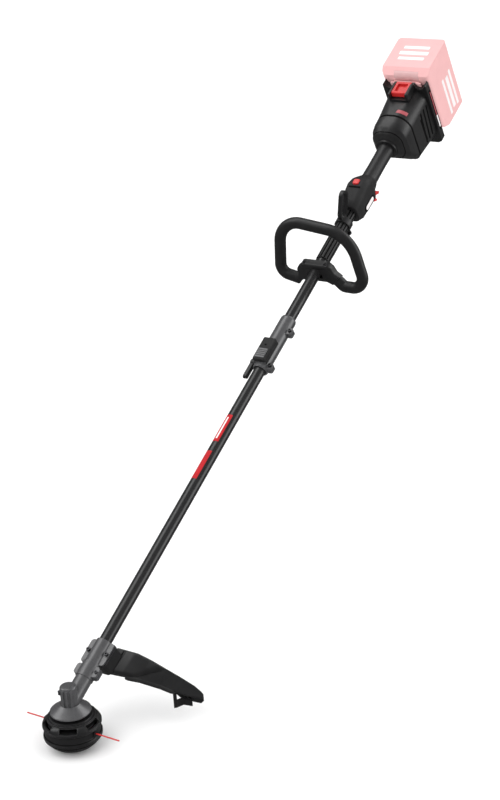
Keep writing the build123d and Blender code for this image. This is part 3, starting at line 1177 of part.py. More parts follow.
with BuildPart() as control_cavity:
    control_body(CONTROL_WALL)
    boom_block(board_front + CONTROL_RIB, board_front + 2 * CONTROL_RIB, -max(CONTROL_BOTTOMS),
               CONTROL_BOARD_RISE - SEAT_GAP, max(CONTROL_HALF_WIDTHS), mode=Mode.SUBTRACT)
    boom_block(board_rear - 2 * CONTROL_RIB, board_rear - CONTROL_RIB, -TUBE_RADIUS,
               CONTROL_BOARD_RISE - SEAT_GAP, max(CONTROL_HALF_WIDTHS), mode=Mode.SUBTRACT)
    for screw_plane in control_screw_planes:
        bar(screw_plane.offset(-3 * CONTROL_SCREW_SEAT), 4 * CONTROL_SCREW_SEAT, CONTROL_BOSS_RADIUS,
            mode=Mode.SUBTRACT)


def control_half(seam, kept):
    """One half of the control housing, on one side of its seam."""
    control_body(0.0)
    add(control_cavity.part, mode=Mode.SUBTRACT)
    boom_ring(control_front, SLEEVE_SEAT + SEAT_GAP, SLEEVE_RADIUS + SEAT_GAP, mode=Mode.SUBTRACT)
    boom_ring(control_front, CONTROL_LENGTH, SEAT_RADIUS, mode=Mode.SUBTRACT)
    with BuildSketch(facing_up(button_station, CONTROL_BOARD_RISE)) as opening:
        RectangleRounded(BUTTON_LENGTH + 2 * SLIDE_GAP, BUTTON_WIDTH + 2 * SLIDE_GAP,
                         BUTTON_CORNER + SLIDE_GAP)
    extrude(opening.sketch, amount=BUTTON_RISE + BUTTON_TRAVEL - CONTROL_BOARD_RISE, mode=Mode.SUBTRACT)
    boom_block(pivot_station - 1.5 * TRIGGER_HUB_RADIUS, grip_front, -2 * TRIGGER_PIVOT_DROP,
               -TRIGGER_PIVOT_DROP + 1.3 * TRIGGER_HUB_RADIUS, trigger_half + TRIGGER_SLOT_WALL,
               mode=Mode.SUBTRACT)
    bar(facing_left(pivot_station, -TRIGGER_PIVOT_DROP, -2 * TRIGGER_PIN_HALF), 4 * TRIGGER_PIN_HALF,
        PIVOT_DIAMETER / 2 + SEAT_GAP, mode=Mode.SUBTRACT)
    for screw_plane in control_screw_planes:
        bar(screw_plane, CONTROL_SCREW_SEAT, SMALL_SCREW_HEAD_DIAMETER / 2 + SEAT_GAP,
            mode=Mode.SUBTRACT)
        bar(screw_plane, -CONTROL_SCREW_SEAT - CONTROL_SCREW_REACH, SMALL_SCREW_DIAMETER / 2 + SEAT_GAP,
            mode=Mode.SUBTRACT)
    split(bisect_by=SIDE.offset(seam), keep=kept)


with BuildPart() as control_left:
    control_half(SEAT_GAP / 2, Keep.TOP)
finish(control_left, "control_housing_left")

with BuildPart() as control_right:
    control_half(-SEAT_GAP / 2, Keep.BOTTOM)
finish(control_right, "control_housing_right")

with BuildPart() as power_button:
    button_bottom = BUTTON_RISE - BUTTON_DEPTH
    boom_block(button_station - BUTTON_LENGTH / 2, button_station + BUTTON_LENGTH / 2, button_bottom,
               BUTTON_RISE,
               BUTTON_WIDTH / 2)
    fillet(power_button.edges().filter_by(RISE_AXIS), BUTTON_CORNER)
    fillet(power_button.faces().sort_by(RISE_AXIS)[-1].edges(), BUTTON_FLANGE)
    boom_block(button_station - BUTTON_LENGTH / 2 - BUTTON_FLANGE,
               button_station + BUTTON_LENGTH / 2 + BUTTON_FLANGE,
               button_bottom, button_bottom + BUTTON_FLANGE_DEPTH, BUTTON_WIDTH / 2 + BUTTON_FLANGE)
finish(power_button, "power_button")

with BuildPart() as trigger:
    bar(facing_left(pivot_station, -TRIGGER_PIVOT_DROP, -trigger_half), TRIGGER_WIDTH,
        TRIGGER_HUB_RADIUS)
    with BuildSketch(facing_left(pivot_station, -TRIGGER_PIVOT_DROP, -trigger_half)):
        Polygon(*TRIGGER_OUTLINE, align=None)
    extrude(amount=TRIGGER_WIDTH)
    bar(facing_left(pivot_station, -TRIGGER_PIVOT_DROP, -trigger_half), TRIGGER_WIDTH,
        PIVOT_DIAMETER / 2 + RUN_GAP, mode=Mode.SUBTRACT)
finish(trigger, "trigger")

with BuildPart() as pivot_pins:
    bar(facing_left(lever_pivot_station, lever_pivot_rise, -LEVER_HOUSING_WIDTH / 2),
        LEVER_HOUSING_WIDTH,
        PIVOT_DIAMETER / 2)
    bar(facing_left(pivot_station, -TRIGGER_PIVOT_DROP, -TRIGGER_PIN_HALF), 2 * TRIGGER_PIN_HALF,
        PIVOT_DIAMETER / 2)
finish(pivot_pins, "pivot_pins")

with BuildPart() as trigger_switch:
    switch_rear = pivot_station - TRIGGER_HUB_RADIUS - SLIDE_GAP
    boom_block(switch_rear - SWITCH_LENGTH, switch_rear, -SEAT_RADIUS - SWITCH_HEIGHT, -SEAT_RADIUS,
               SWITCH_WIDTH / 2)
finish(trigger_switch, "trigger_switch")

with BuildPart() as control_board:
    boom_block(board_front, board_rear, CONTROL_BOARD_RISE, CONTROL_BOARD_RISE + BOARD_THICKNESS,
               CONTROL_BOARD_WIDTH / 2)
finish(control_board, "control_board")

# Rear grip: a waisted sleeve on the upper tube
with BuildPart() as rear_grip:
    with BuildSketch(SIDE):
        with BuildLine():
            grip_start = (grip_front + SEAT_GAP, GRIP_RADIUS)
            grip_end = (cap_front - SEAT_GAP, GRIP_RADIUS)
            ThreePointArc(grip_start, (grip_front + GRIP_LENGTH / 2, GRIP_WAIST_RADIUS), grip_end)
            Polyline(grip_end, (cap_front - SEAT_GAP, SEAT_RADIUS),
                     (grip_front + SEAT_GAP, SEAT_RADIUS), grip_start)
        make_face()
    revolve(axis=BOOM_AXIS)
finish(rear_grip, "rear_grip")

# Motor housing: a rounded front cap and a body that widens to the battery dock
housing_centre = -HOUSING_CENTRE_DROP
housing_top = housing_centre + HOUSING_HEIGHT / 2
housing_bottom = HOUSING_HEIGHT - housing_top
front_bottom = housing_bottom - HOUSING_FRONT_LIFT
cap_screw_planes = [
    across(housing_front + MOTOR_BULKHEAD, housing_centre + rise, side)
    for rise in (-CAP_SCREW_RISE, CAP_SCREW_RISE) for side in (-CAP_SCREW_SIDE, CAP_SCREW_SIDE)]
collar_front = cap_front - FRONT_CAP_COLLAR_LENGTH


def housing_section(station, top, bottom, width, corners):
    """A section of the motor housing, with one rounding for its top corners and one for its bottom ones."""
    with BuildSketch(across(station, (top - bottom) / 2)) as section:
        Rectangle(top + bottom, width)
        fillet(section.vertices().group_by(Axis.X)[-1], corners[0])
        fillet(section.vertices().group_by(Axis.X)[0], corners[1])
    return section.sketch


def cap_body(inset):
    """The bell of the front cap, from the grip's collar to the housing's section, drawn in by an inset."""
    sections = []
    for step, top, bottom, half, top_corner, bottom_corner in zip(
            FRONT_CAP_STEPS, (*FRONT_CAP_TOPS, housing_top), (*FRONT_CAP_BOTTOMS, front_bottom),
            (*FRONT_CAP_HALF_WIDTHS, HOUSING_WIDTH / 2), (*FRONT_CAP_TOP_CORNERS, HOUSING_TOP_CORNER),
            (*FRONT_CAP_BOTTOM_CORNERS, HOUSING_BOTTOM_CORNER)):
        share = step / FRONT_CAP_STEPS[-1]
        station = cap_front + inset + share * (FRONT_CAP_LENGTH - SEAT_GAP - inset)
        sections.append(housing_section(station, top - inset, bottom - inset, 2 * (half - inset),
                                        (top_corner - inset, bottom_corner - inset)))
    loft(sections, ruled=True)


with BuildPart() as cap_cavity:
    cap_body(HOUSING_WALL)
    boom_ring(cap_front, CAP_SEAT, TUBE_RADIUS + CAP_SOCKET_WALL, mode=Mode.SUBTRACT)
    for screw_plane in cap_screw_planes:
        bar(screw_plane, -MOTOR_BULKHEAD - CAP_BOSS_LENGTH, CAP_BOSS_RADIUS, mode=Mode.SUBTRACT)

with BuildPart() as motor_cap:
    cap_body(0.0)
    boom_ring(collar_front, FRONT_CAP_COLLAR_LENGTH, FRONT_CAP_COLLAR_RADIUS, GRIP_RADIUS + SEAT_GAP)
    add(cap_cavity.part, mode=Mode.SUBTRACT)
    boom_ring(cap_front, CAP_SEAT, SEAT_RADIUS, mode=Mode.SUBTRACT)
    for screw_plane in cap_screw_planes:
        bar(screw_plane, -MOTOR_BULKHEAD - CAP_BOSS_LENGTH, SMALL_SCREW_DIAMETER / 2 + SEAT_GAP,
            mode=Mode.SUBTRACT)
finish(motor_cap, "motor_front_cap")

rear_bulkhead = motor_front + STATOR_LENGTH + MOTOR_REAR_GAP
front_bulkhead_rear = housing_front + MOTOR_BULKHEAD


def housing_body(inset):
    """The motor housing's body from its front seam to the dock, drawn in by an inset."""
    front_face = housing_section(housing_front, housing_top - inset, front_bottom - inset,
                                 HOUSING_WIDTH - 2 * inset,
                                 (HOUSING_TOP_CORNER - inset, HOUSING_BOTTOM_CORNER - inset))
    rear_face = housing_section(housing_rear, housing_top - inset, housing_bottom - inset,
                                HOUSING_WIDTH + HOUSING_FLARE - 2 * inset,
                                [corner - inset for corner in HOUSING_REAR_CORNERS])
    loft([front_face, rear_face], ruled=True)


with BuildPart() as housing_cavity:
    housing_body(HOUSING_WALL)
    for bulkhead in (housing_front, rear_bulkhead):
        boom_block(bulkhead, bulkhead + MOTOR_BULKHEAD, -HOUSING_HEIGHT, HOUSING_HEIGHT, HOUSING_WIDTH,
                   mode=Mode.SUBTRACT)
    boom_ring(housing_front, STATOR_SETBACK + STATOR_LENGTH / 2, STATOR_RADIUS + MOTOR_SEAT_WALL,
              STATOR_RADIUS + SEAT_GAP, mode=Mode.SUBTRACT)

with BuildPart() as motor_housing:
    housing_body(0.0)
    add(housing_cavity.part, mode=Mode.SUBTRACT)
    boom_ring(housing_front, HOUSING_LENGTH, BEARING_DIAMETER / 2 + SEAT_GAP, mode=Mode.SUBTRACT)
    for screw_plane in cap_screw_planes:
        bar(screw_plane, -MOTOR_BULKHEAD, SMALL_SCREW_DIAMETER / 2 + SEAT_GAP, mode=Mode.SUBTRACT)
    vent_middle = housing_front + VENT_STEP
    vent_depth = HOUSING_WIDTH / 2 - HOUSING_WALL - 1.0
    for side in (-1, 1):
        vent_plane = facing_left(vent_middle, -VENT_DROP, side * vent_depth)
        with BuildSketch(vent_plane):
            with GridLocations(VENT_SPACING, 1, VENT_COUNT, 1):
                SlotOverall(VENT_HEIGHT, VENT_WIDTH, rotation=90 - VENT_LEAN)
        extrude(amount=side * HOUSING_WIDTH, mode=Mode.SUBTRACT)
finish(motor_housing, "motor_housing")

with BuildPart() as housing_screws:
    for screw_plane in control_screw_planes:
        pan_screw(screw_plane, CONTROL_SCREW_SEAT + CONTROL_SCREW_REACH)
    for screw_plane in cap_screw_planes:
        pan_screw(screw_plane, MOTOR_BULKHEAD + CAP_SCREW_REACH)
finish(housing_screws, "housing_screws")

# Motor: a toothed stator, a rotor on its shaft, two bearings and the coupling to the drive shaft
with BuildPart() as stator:
    with BuildSketch(across(motor_front)):
        Circle(STATOR_RADIUS)
        Circle(STATOR_RADIUS - STATOR_RING, mode=Mode.SUBTRACT)
        tooth_length = STATOR_RADIUS - STATOR_RING / 2 - ROTOR_RADIUS - AIR_GAP
        with PolarLocations(ROTOR_RADIUS + AIR_GAP + tooth_length / 2, STATOR_TEETH):
            Rectangle(tooth_length, STATOR_TOOTH_WIDTH)
        Circle(ROTOR_RADIUS + AIR_GAP, mode=Mode.SUBTRACT)
    extrude(amount=STATOR_LENGTH)
finish(stator, "stator")

motor_shaft_radius = MOTOR_SHAFT_DIAMETER / 2

with BuildPart() as rotor:
    boom_ring(motor_front, STATOR_LENGTH, ROTOR_RADIUS, motor_shaft_radius + SEAT_GAP)
finish(rotor, "rotor")

with BuildPart() as motor_shaft:
    boom_ring(coupling_front, COUPLING_LENGTH, COUPLING_RADIUS)
    boom_ring(coupling_front, rear_bulkhead + MOTOR_BULKHEAD - coupling_front, motor_shaft_radius)
    boom_ring(coupling_front, COUPLING_SOCKET + SLIDE_GAP, DRIVE_DIAMETER / 2 + SEAT_GAP,
              mode=Mode.SUBTRACT)
finish(motor_shaft, "motor_shaft")

with BuildPart() as motor_bearings:
    bearing(across(housing_front + MOTOR_BULKHEAD - BEARING_WIDTH))
    bearing(across(rear_bulkhead))
finish(motor_bearings, "motor_bearings")

with BuildPart() as controller_board:
    boom_block(front_bulkhead_rear + SEAT_GAP, rear_bulkhead - SEAT_GAP, -CONTROLLER_DROP,
               -CONTROLLER_DROP + BOARD_THICKNESS, CONTROLLER_WIDTH / 2)
finish(controller_board, "controller_board")

# Battery dock: a plate with a T-shaped channel, open at the top, and a foot under the pack
dock_top = housing_top + DOCK_STAND
dock_bottom = housing_bottom + DOCK_APRON
channel_bottom = dock_bottom - CHANNEL_FLOOR
latch_bottom = housing_top + LATCH_STAND
latch_top = latch_bottom + LATCH_HEIGHT
bracket_top = housing_top + LATCH_BRACKET_HEIGHT
pack_top = dock_top + PACK_STAND
pack_bottom = dock_bottom - PACK_FOOT
runner_bottom = channel_bottom - RUNNER_RISE
channel_front = dock_rear - CHANNEL_DEPTH
latch_rear = channel_front
latch_front = latch_rear - LATCH_LENGTH
notch_half = LATCH_HALF_WIDTH + SLIDE_GAP

with BuildPart() as dock:
    with BuildSketch(across(housing_rear + SEAT_GAP, (dock_top - dock_bottom) / 2)):
        RectangleRounded(dock_top + dock_bottom, 2 * DOCK_HALF_WIDTH, DOCK_ROUNDING)
    extrude(amount=DOCK_THICKNESS - SEAT_GAP)
    foot_top = -pack_bottom - SLIDE_GAP
    boom_block(housing_rear + SEAT_GAP, dock_rear + DOCK_FOOT_REAR, -dock_bottom - DOCK_FOOT_DROP, foot_top,
               DOCK_FOOT_HALF_WIDTH)
    boom_block(channel_front, dock_rear, -channel_bottom, dock_top, CHANNEL_HALF_WIDTH - CHANNEL_LIP,
               mode=Mode.SUBTRACT)
    boom_block(channel_front, dock_rear - CHANNEL_LIP_DEPTH, -channel_bottom, dock_top,
               CHANNEL_HALF_WIDTH, mode=Mode.SUBTRACT)
    boom_block(housing_rear, dock_rear, latch_bottom - SLIDE_GAP, dock_top, notch_half,
               mode=Mode.SUBTRACT)
    for side in (-SCALLOP_SIDE, SCALLOP_SIDE):
        bar(across(housing_rear, dock_top, side), DOCK_THICKNESS, SCALLOP_RADIUS, mode=Mode.SUBTRACT)
finish(dock, "battery_dock")

with BuildPart() as terminals:
    with BuildSketch(across(channel_front + SEAT_GAP, TERMINAL_RISE - channel_bottom)):
        with GridLocations(1, TERMINAL_SPACING, 1, TERMINAL_COUNT):
            Rectangle(TERMINAL_LENGTH, TERMINAL_THICKNESS)
    extrude(amount=CHANNEL_DEPTH - CHANNEL_LIP_DEPTH)
finish(terminals, "battery_terminals")

with BuildPart() as latch_bracket:
    bracket_start = latch_front - LATCH_TRAVEL - SLIDE_GAP - LATCH_BRACKET_WALL
    boom_block(bracket_start, housing_rear, housing_top + SEAT_GAP, bracket_top, LATCH_BRACKET_HALF_WIDTH)
    fillet(latch_bracket.edges().filter_by(RISE_AXIS).group_by(BOOM_AXIS)[0], LATCH_BRACKET_ROUNDING)
    rim_edges = latch_bracket.faces().sort_by(RISE_AXIS)[-1].edges().filter_by(BOOM_AXIS)
    fillet(rim_edges, LATCH_BRACKET_ROUNDING / 2)
    boom_block(bracket_start, housing_rear, latch_bottom - SLIDE_GAP, bracket_top, notch_half,
               mode=Mode.SUBTRACT)
finish(latch_bracket, "latch_bracket")

with BuildPart() as battery_latch:
    boom_block(latch_front, latch_rear - LATCH_TONGUE_LENGTH, latch_bottom, latch_top, LATCH_HALF_WIDTH)
    fillet(battery_latch.edges().filter_by(LEFT_AXIS).group_by(BOOM_AXIS)[0], LATCH_ROUNDING)
    boom_block(latch_front + LATCH_ROUNDING, latch_rear, latch_bottom,
               latch_bottom + LATCH_TONGUE_THICKNESS, LATCH_TONGUE_HALF_WIDTH)
    pocket_middle = (latch_front + latch_rear - LATCH_TONGUE_LENGTH) / 2
    boom_block(pocket_middle - LATCH_POCKET / 2, pocket_middle + LATCH_POCKET / 2,
               latch_top - LATCH_POCKET_DEPTH, latch_top, LATCH_POCKET / 2, mode=Mode.SUBTRACT)
finish(battery_latch, "battery_latch")

# Battery pack: a block with a T-shaped runner that slides up out of the dock
with BuildPart() as pack:
    with BuildSketch(facing_left(pack_front, 0, -PACK_HALF_WIDTH)):
        Polygon(
            (0, pack_top - PACK_CHAMFER), (PACK_CHAMFER, pack_top), (PACK_DEPTH, pack_top),
            (PACK_DEPTH, -pack_bottom), (PACK_TOE_LENGTH, -pack_bottom),
            (0, PACK_TOE_HEIGHT - pack_bottom), align=None)
    extrude(amount=2 * PACK_HALF_WIDTH)
    fillet(pack.edges().filter_by(RISE_AXIS), PACK_CORNER)
    fillet(pack.faces().sort_by(RISE_AXIS)[0].edges(), PACK_ROUNDING)
    runner_front = channel_front + SLIDE_GAP
    boom_block(runner_front, pack_front + PACK_ROUNDING, -runner_bottom, dock_top - RUNNER_DROP,
               CHANNEL_HALF_WIDTH - CHANNEL_LIP - SLIDE_GAP)
    boom_block(runner_front, dock_rear - CHANNEL_LIP_DEPTH - SLIDE_GAP, -runner_bottom,
               dock_top - RUNNER_DROP, CHANNEL_HALF_WIDTH - SLIDE_GAP)
    boom_block(runner_front, runner_front + PACK_NOTCH_DEPTH, latch_bottom - 1.0,
               latch_bottom + LATCH_TONGUE_THICKNESS + 1.0, LATCH_TONGUE_HALF_WIDTH + 1.0,
               mode=Mode.SUBTRACT)
finish(pack, "battery_pack")
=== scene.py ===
import json
import math

import bpy
import numpy as np
from bpy.props import FloatProperty, FloatVectorProperty, IntProperty, PointerProperty
from bpy.types import Operator, Panel, PropertyGroup
from mathutils import Matrix, Vector


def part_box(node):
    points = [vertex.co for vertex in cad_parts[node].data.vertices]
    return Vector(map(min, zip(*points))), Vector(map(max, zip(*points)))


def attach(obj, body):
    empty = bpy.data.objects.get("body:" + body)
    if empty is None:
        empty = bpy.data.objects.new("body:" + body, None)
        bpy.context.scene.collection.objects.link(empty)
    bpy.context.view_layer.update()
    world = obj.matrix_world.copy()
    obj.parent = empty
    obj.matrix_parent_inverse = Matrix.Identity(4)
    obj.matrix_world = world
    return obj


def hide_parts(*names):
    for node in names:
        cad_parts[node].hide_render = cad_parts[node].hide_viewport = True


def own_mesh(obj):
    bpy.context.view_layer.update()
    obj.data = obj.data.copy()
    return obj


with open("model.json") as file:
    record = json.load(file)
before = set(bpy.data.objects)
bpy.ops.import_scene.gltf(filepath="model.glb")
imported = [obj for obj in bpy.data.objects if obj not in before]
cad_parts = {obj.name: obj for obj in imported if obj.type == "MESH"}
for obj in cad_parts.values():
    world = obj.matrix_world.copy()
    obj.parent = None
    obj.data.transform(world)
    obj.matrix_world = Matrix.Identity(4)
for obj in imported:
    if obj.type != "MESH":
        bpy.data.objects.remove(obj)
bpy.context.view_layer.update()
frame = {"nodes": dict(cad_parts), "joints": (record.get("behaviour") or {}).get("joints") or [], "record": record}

bl_info = {
    "name": "String Trimmer Dressing",
    "version": (1, 0, 0),
    "blender": (4, 5, 0),
    "location": "View3D > Sidebar > Trimmer",
    "description": "Finishes, fine pieces and studio for a split-boom string trimmer",
    "category": "Object",
}

MM = 0.001
FULL_TURN = 2 * math.pi
QUARTER_TURN = math.pi / 2

# The boom's own directions: along it to the motor, up from it, and to the operator's left. The crossing of
# the drive axes is in metres
BOOM = -np.array([j for j in frame["joints"] if j["name"] == "boom_slide"][0]["axis"], float)
LEFT = np.array([0.0, -1.0, 0.0])
RISE = np.cross(LEFT, BOOM)
BOOM_TILT = math.asin(BOOM[2])
CROSSING = np.array([0.0, 0.0, 0.092])

# Sizes of the pieces are in millimetres. A station lies along the boom, from the crossing of the drive axes

# Wound line and bump spring: the ridges' depth as a share of the line, and the flat turns at each end
WOUND_BORE, WOUND_RIDGE_SHARE = 27.2, 0.3
COIL_END_TURNS, COIL_ROWS_A_TURN = 0.75, 40

# Line ends: rows of points, the tip's first angle and least share of the radius, the lobes' count and depth
# as a share of the radius, and the length in which they twist by one radian
STRAND_ROWS, STRAND_TIP_ROWS = 60, 8
STRAND_TIP_ANGLE, STRAND_TIP_LEAST = 0.1, 0.05
STRAND_LOBES, STRAND_LOBE_SHARE = 5, 0.06
STRAND_TWIST = 12.0

# Lid on the gear case's post, about the spindle
LID_LEVEL, LID_SINK, LID_STEP = 131.0, 0.5, 0.1
LID_RADIUS, LID_ROUND = 12.6, 0.8
LID_FLAT_RADII = (11.0, 4.0)

# Cutting head: level, radius and size of each bead and seam, the arc of the cover's round shoulder, and the
# window frames on it with their half length, half width and corner
HEAD_BEADS = ((52.4, 56.5, 0.8), (50.0, 56.5, 0.8), (29.6, 56.5, 0.8), (26.6, 56.5, 0.8), (20.5, 52.7, 0.9),
              (14.5, 47.6, 0.9))
HEAD_SEAMS = ((47.6, 54.8, 1.2), (33.0, 55.3, 0.9), (24.2, 55.4, 1.2))
COVER_RADIUS, COVER_LEVEL, COVER_BEND = 43.17, 50.67, 13.74
WINDOW_FRAME = (18.4, 7.0, 3.0)
WINDOW_BEAD = 0.9
WINDOW_SLOPE = math.radians(44.0)
WINDOW_BEARINGS = np.radians(np.arange(30.0, 390.0, 60.0))

# Guard's wing: places to the left, and x and z of its front and rear edges there
GUARD_LEFT = (20.0, 42.0, 68.0, 104.0, 134.0, 160.0, 174.0, 179.0)
GUARD_FRONT_X = (90.0, 114.0, 137.0, 154.0, 160.0, 170.0, 178.5, 182.5)
GUARD_FRONT_Z = (117.0, 102.0, 89.0, 75.0, 66.0, 58.0, 54.5, 52.5)
GUARD_REAR_X = (136.0, 170.0, 177.0, 178.0, 182.0, 187.0, 188.0, 188.0)
GUARD_REAR_Z = (147.0, 122.0, 110.0, 98.0, 85.0, 71.0, 61.5, 56.5)

# Guard's shoulder: its two sides as shares of the wing's width, its start to the left, its length at the
# front edge and what its slanted end adds towards the rear one, and the shares over which it falls off
SHOULDER_FRONT, SHOULDER_REAR = 0.02, 0.97
SHOULDER_START, SHOULDER_LENGTH, SHOULDER_SLANT = 30.0, 26.0, 48.0
SHOULDER_HEIGHT, SHOULDER_SINK, SHOULDER_DEPTH = 6.0, 0.4, 1.5
SHOULDER_END_FALL, SHOULDER_SIDE_FALL = 0.22, 0.10

# Guard's lip: its reach to the left, its shift from the front edge, and its size times the two half axes of
# its section
LIP_START, LIP_END = 46.0, 132.0
LIP_SHIFT = np.array([-2.2, 0.0, -3.2])
LIP_SIZE = 4.2
LIP_LONG_AXIS = np.array([0.7, 0.0, 0.7])
LIP_SHORT_AXIS = np.array([-0.25, 0.0, 0.25])

# Boom: the plain bars on the lower tube (start, end, first and last angle in degrees from the top to the
# left), the coupler's mouth, and the fluted sleeve with painted shade laid in its flutes
TUBE_RADIUS = 13.0
TUBE_BANDS = ((541.0, 615.0, -44.0, 22.0), (641.0, 713.0, -46.0, 26.0))
TUBE_BAND_HEIGHT = 0.25
TUBE_STRIPE = (648.0, 706.0, -18.0, -1.0)
TUBE_STRIPE_HEIGHT = 0.35
COUPLER_FRONT, MOUTH_RADIUS, MOUTH_SIZE = 849.0, 15.5, 1.5
SLEEVE_FRONT, SLEEVE_REAR, SLEEVE_RADIUS = 1177.0, 1343.0, 15.0
FLUTE_SIZE, FLUTE_INSET = 1.2, 1.0
FLUTE_BEARINGS = np.radians(np.arange(0.0, 360.0, 30.0))

# Motor housing and front cap: top, bottom, side and corner radii of their sections
HOUSING_FRONT, HOUSING_REAR = 1605.0, 1694.0
HOUSING_TOP, HOUSING_BOTTOM, HOUSING_SIDE = 52.0, 82.0, 46.0
HOUSING_CORNERS = (40.0, 19.0)
REAR_SIDE, REAR_CORNER = 50.0, 28.0
CAP_STATION, CAP_GROOVE_HALF = 1561.0, 1.6
CAP_SECTION = (40.5, 40.5, 38.8, (31.5, 27.2))
SEAM_PROUD = 0.5
BADGE_STATION, BADGE_HALF, BADGE_ARC = 1621.0, 5.0, 0.74

# Battery pack and its tinted panel: steps up the front chamfer and down the front face, from their fold
PACK_FRONT, PACK_TOP, PACK_SIDE, PACK_CHAMFER = 1711.3, 96.0, 62.0, 15.0
PANEL_HALF, PANEL_LEFT = 32.0, 2.0
PANEL_UP = np.array([8.0, 4.0, 0.0, 0.0, 0.0])
PANEL_DOWN = np.array([0.0, 0.0, 0.0, 8.0, 17.0])

# Beads that end in the open: how late they close, and the least share of their section's area
BEAD_END_POWER, BEAD_END_LEAST = 12, 0.02

# Plates: place of the foot along, above and left of the boom's axis, then half length, half width and corner.
# The rounded edge is a length, and the flat top starts at so many edges from the outline
PLATE_EDGE, PLATE_FLAT_INSET = 0.3, 1.6
DOCK_SIDE = 57.0
DOCK_RAIL = ((1705.0, -13.0, DOCK_SIDE), (60.0, 4.6, 1.2))
DOCK_RED = ((1705.0, 5.0, DOCK_SIDE), (36.0, 1.9, 1.2))
DOCK_PALE = ((1705.0, -48.0, DOCK_SIDE), (18.0, 2.4, 0.8))
CONTROL_BADGE_AT, CONTROL_BADGE_SINK = (1379.0, -12.0, 26.8), 1.6
CONTROL_BADGE_FRAME = (24.0, 8.6, 8.5)
CONTROL_BADGE = (19.5, 5.4, 5.3)
PACK_TOP_BARS = (((1796.0, PACK_TOP, 0.0), (34.0, 5.0, 2.0)),
                 ((1776.0, PACK_TOP, 0.0), (38.0, 6.0, 2.0)),
                 ((1757.0, PACK_TOP, 0.0), (34.0, 5.0, 2.0)))
PACK_SIDE_BARS = (((1802.0, -25.0, PACK_SIDE), (52.0, 4.5, 2.0)),
                  ((1784.0, -25.0, PACK_SIDE), (46.0, 6.5, 2.0)),
                  ((1764.0, -25.0, PACK_SIDE), (52.0, 4.5, 2.0)))
# Dark plate laid in the housing's wide vent: painted shade
VENT_SHADE_PLATE = ((1648.4, -28.0, 47.9), (33.0, 3.6, 3.0))
# Dark plate in the slot beside the power button: painted shade
SLOT_SHADE_PLATE = ((1380.0, 36.6, 0.5), (14.5, 2.2, 1.0))
CONTROL_SLOT_FACING = RISE * 0.984 - BOOM * 0.18
RELEASE_DOT = ((899.2, 28.0, -1.0), (2.4, 2.4, 2.3))
RELEASE_SKIRT_STATION, RELEASE_SKIRT_RISE, RELEASE_SKIRT_SIDE = 889.0, 14.6, 15.0
RELEASE_SKIRT = (30.0, 3.8, 1.2)

# Solids whose faces run on into each other at a small angle, and the angle from which their edges are sharp
SMOOTH_SOLIDS = ("guard", "control_housing_left", "control_housing_right", "motor_front_cap",
                 "motor_housing", "handle_bridge", "handle_loop")
SHARP_ANGLE = math.radians(32.0)
MERGE_DISTANCE = 1e-5

# Solids whose finish isn't the one that their slot is named for. The release lever's lighter finish is a painted
# highlight
OWN_FINISHES = {"head_upper_cover": "head_plastic", "head_lower_housing": "head_plastic",
                "bump_knob": "head_plastic", "line_cutter": "black_plastic", "release_lever": "lever_grey",
                "release_housing": "matte_plastic", "control_housing_left": "matte_plastic",
                "control_housing_right": "matte_plastic"}

